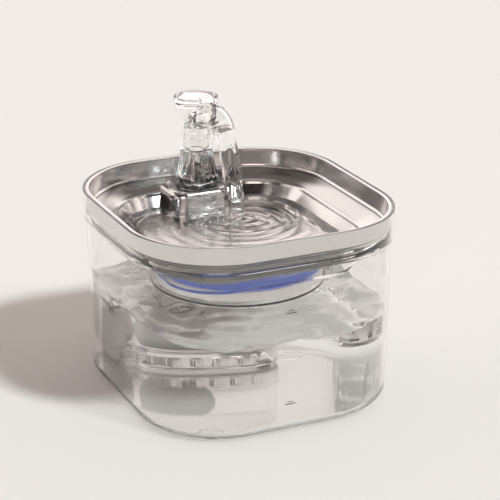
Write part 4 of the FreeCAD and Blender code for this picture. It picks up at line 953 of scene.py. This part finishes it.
class FOUNTAIN_OT_stage(bpy.types.Operator):
    """Make the floor, the lights and the camera"""
    bl_idname = "fountain.stage"
    bl_label = "Stage"

    def execute(self, context):
        scene = context.scene
        scene.view_settings.view_transform = "Standard"
        scene.cycles.max_bounces = CLEAR_BOUNCES
        scene.cycles.transmission_bounces = CLEAR_BOUNCES
        scene.cycles.transparent_max_bounces = CLEAR_BOUNCES
        scene.cycles.glossy_bounces = MIRROR_BOUNCES
        self.add_camera(scene)
        self.add_floor(scene)
        self.add_world(scene)
        self.add_lamps(scene)
        return {"FINISHED"}

    def add_camera(self, scene):
        turn, rise = math.radians(CAMERA_TURN), math.radians(CAMERA_RISE)
        back = Vector((math.sin(turn) * math.cos(rise), -math.cos(turn) * math.cos(rise),
                       math.sin(rise)))
        right = Vector((math.cos(turn), math.sin(turn), 0))
        up = back.cross(right)
        place = Vector((0, 0, CAMERA_AIM_HEIGHT)) + right * CAMERA_AIM[0] + up * CAMERA_AIM[1]
        place += back * CAMERA_DISTANCE
        lens = bpy.data.cameras.new("camera")
        lens.sensor_width = SENSOR
        lens.lens = SENSOR * FOCAL_PIXELS / PHOTO_PIXELS
        lens.clip_start = 0.05
        camera = bpy.data.objects.new("camera", lens)
        axes = Matrix((right, up, back)).transposed().to_4x4()
        camera.matrix_world = Matrix.Translation(place * MM) @ axes
        scene.collection.objects.link(camera)
        scene.camera = camera

    def add_floor(self, scene):
        mesh = bpy.data.meshes.new("floor")
        corners = [(side * FLOOR_REACH, end * FLOOR_REACH, -FLOOR_DROP * MM)
                   for side, end in ((-1, -1), (1, -1), (1, 1), (-1, 1))]
        mesh.from_pydata(corners, [], [(0, 1, 2, 3)])
        floor = bpy.data.objects.new("floor", mesh)
        scene.collection.objects.link(floor)
        paint = new_material("floor_paint")[0]
        shader = paint.node_tree.nodes["Principled BSDF"]
        shader.inputs["Base Color"].default_value = (*scene.fountain_colours.floor, 1)
        shader.inputs["Roughness"].default_value = 0.8
        shader.inputs["Specular IOR Level"].default_value = 0.2
        mesh.materials.append(paint)

    def add_world(self, scene):
        """A studio: a bright low band behind, a pale top, and upright soft boxes in front."""
        world = bpy.data.worlds.new("studio")
        scene.world = world
        world.use_nodes = True
        nodes, links = world.node_tree.nodes, world.node_tree.links

        def spread(source, low, high):
            made = nodes.new("ShaderNodeMapRange")
            made.interpolation_type = "SMOOTHSTEP"
            made.inputs["From Min"].default_value = low
            made.inputs["From Max"].default_value = high
            links.new(source, made.inputs["Value"])
            return made.outputs["Result"]

        def maths(operation, first, second=None, number=0.0):
            made = nodes.new("ShaderNodeMath")
            made.operation = operation
            links.new(first, made.inputs[0])
            if second is None:
                made.inputs[1].default_value = number
            else:
                links.new(second, made.inputs[1])
            return made.outputs["Value"]

        def blend(factor, first, second):
            made = nodes.new("ShaderNodeMix")
            made.data_type = "RGBA"
            links.new(factor, made.inputs["Factor"])
            for socket, colour in (("A", first), ("B", second)):
                if isinstance(colour, tuple):
                    made.inputs[socket].default_value = (*colour, 1)
                else:
                    links.new(colour, made.inputs[socket])
            return made.outputs["Result"]

        place = nodes.new("ShaderNodeTexCoord")
        split = nodes.new("ShaderNodeSeparateXYZ")
        links.new(place.outputs["Generated"], split.inputs["Vector"])
        turn = maths("ARCTAN2", split.outputs["X"], split.outputs["Y"])
        wave = maths("SINE", maths("MULTIPLY", turn, number=BOX_COUNT))
        boxes = maths("MULTIPLY", spread(wave, 0.2, 0.6), spread(split.outputs["Z"], 0.68, 0.58))
        front = blend(boxes, ROOM_DARK, ROOM_BOX)
        back = blend(spread(split.outputs["Z"], 0.66, 0.50), ROOM_CEILING, ROOM_BACK)
        sides = blend(spread(split.outputs["Y"], -0.2, 0.15), front, back)
        room = blend(spread(split.outputs["Z"], 0.86, 0.94), sides, ROOM_TOP)
        links.new(room, nodes["Background"].inputs["Color"])

    def add_lamps(self, scene):
        for name, kind, place, size, power, colour, mirrored in LAMPS:
            light = bpy.data.lights.new(name, kind)
            if kind == "SUN":
                light.angle = size
            else:
                light.size = size
            light.energy = power
            light.color = colour
            lamp = bpy.data.objects.new(name, light)
            lamp.location = place
            aim = Vector((0, 0, 0.05)) - Vector(place)
            lamp.rotation_euler = aim.to_track_quat("-Z", "Y").to_euler()
            lamp.visible_glossy = mirrored
            scene.collection.objects.link(lamp)


PIECES = (
    "tank", "marks", "support", "filter", "pump", "tray", "stem", "spout", "water", "stream", "stage",
)


class FOUNTAIN_PT_panel(bpy.types.Panel):
    """Lists the fountain's sizes, colours and pieces"""
    bl_idname = "FOUNTAIN_PT_panel"
    bl_label = "Pet Water Fountain"
    bl_space_type = "VIEW_3D"
    bl_region_type = "UI"
    bl_category = "Fountain"

    def draw(self, context):
        layout = self.layout
        for group in (context.scene.fountain_sizes, context.scene.fountain_colours):
            for name in group.bl_rna.properties.keys():
                if name not in ("rna_type", "name"):
                    layout.prop(group, name)
        for piece in PIECES:
            layout.operator("fountain." + piece)


CLASSES = (
    FountainSizes, FountainColours, FOUNTAIN_OT_tank, FOUNTAIN_OT_marks, FOUNTAIN_OT_support,
    FOUNTAIN_OT_filter, FOUNTAIN_OT_pump, FOUNTAIN_OT_tray, FOUNTAIN_OT_stem, FOUNTAIN_OT_spout,
    FOUNTAIN_OT_water, FOUNTAIN_OT_stream, FOUNTAIN_OT_stage, FOUNTAIN_PT_panel,
)


def register():
    for item in CLASSES:
        bpy.utils.register_class(item)
    bpy.types.Scene.fountain_sizes = bpy.props.PointerProperty(type=FountainSizes)
    bpy.types.Scene.fountain_colours = bpy.props.PointerProperty(type=FountainColours)


def unregister():
    del bpy.types.Scene.fountain_colours
    del bpy.types.Scene.fountain_sizes
    for item in reversed(CLASSES):
        bpy.utils.unregister_class(item)


def main():
    register()
    for piece in PIECES:
        getattr(bpy.ops.fountain, piece)()


if __name__ == "__main__":
    main()
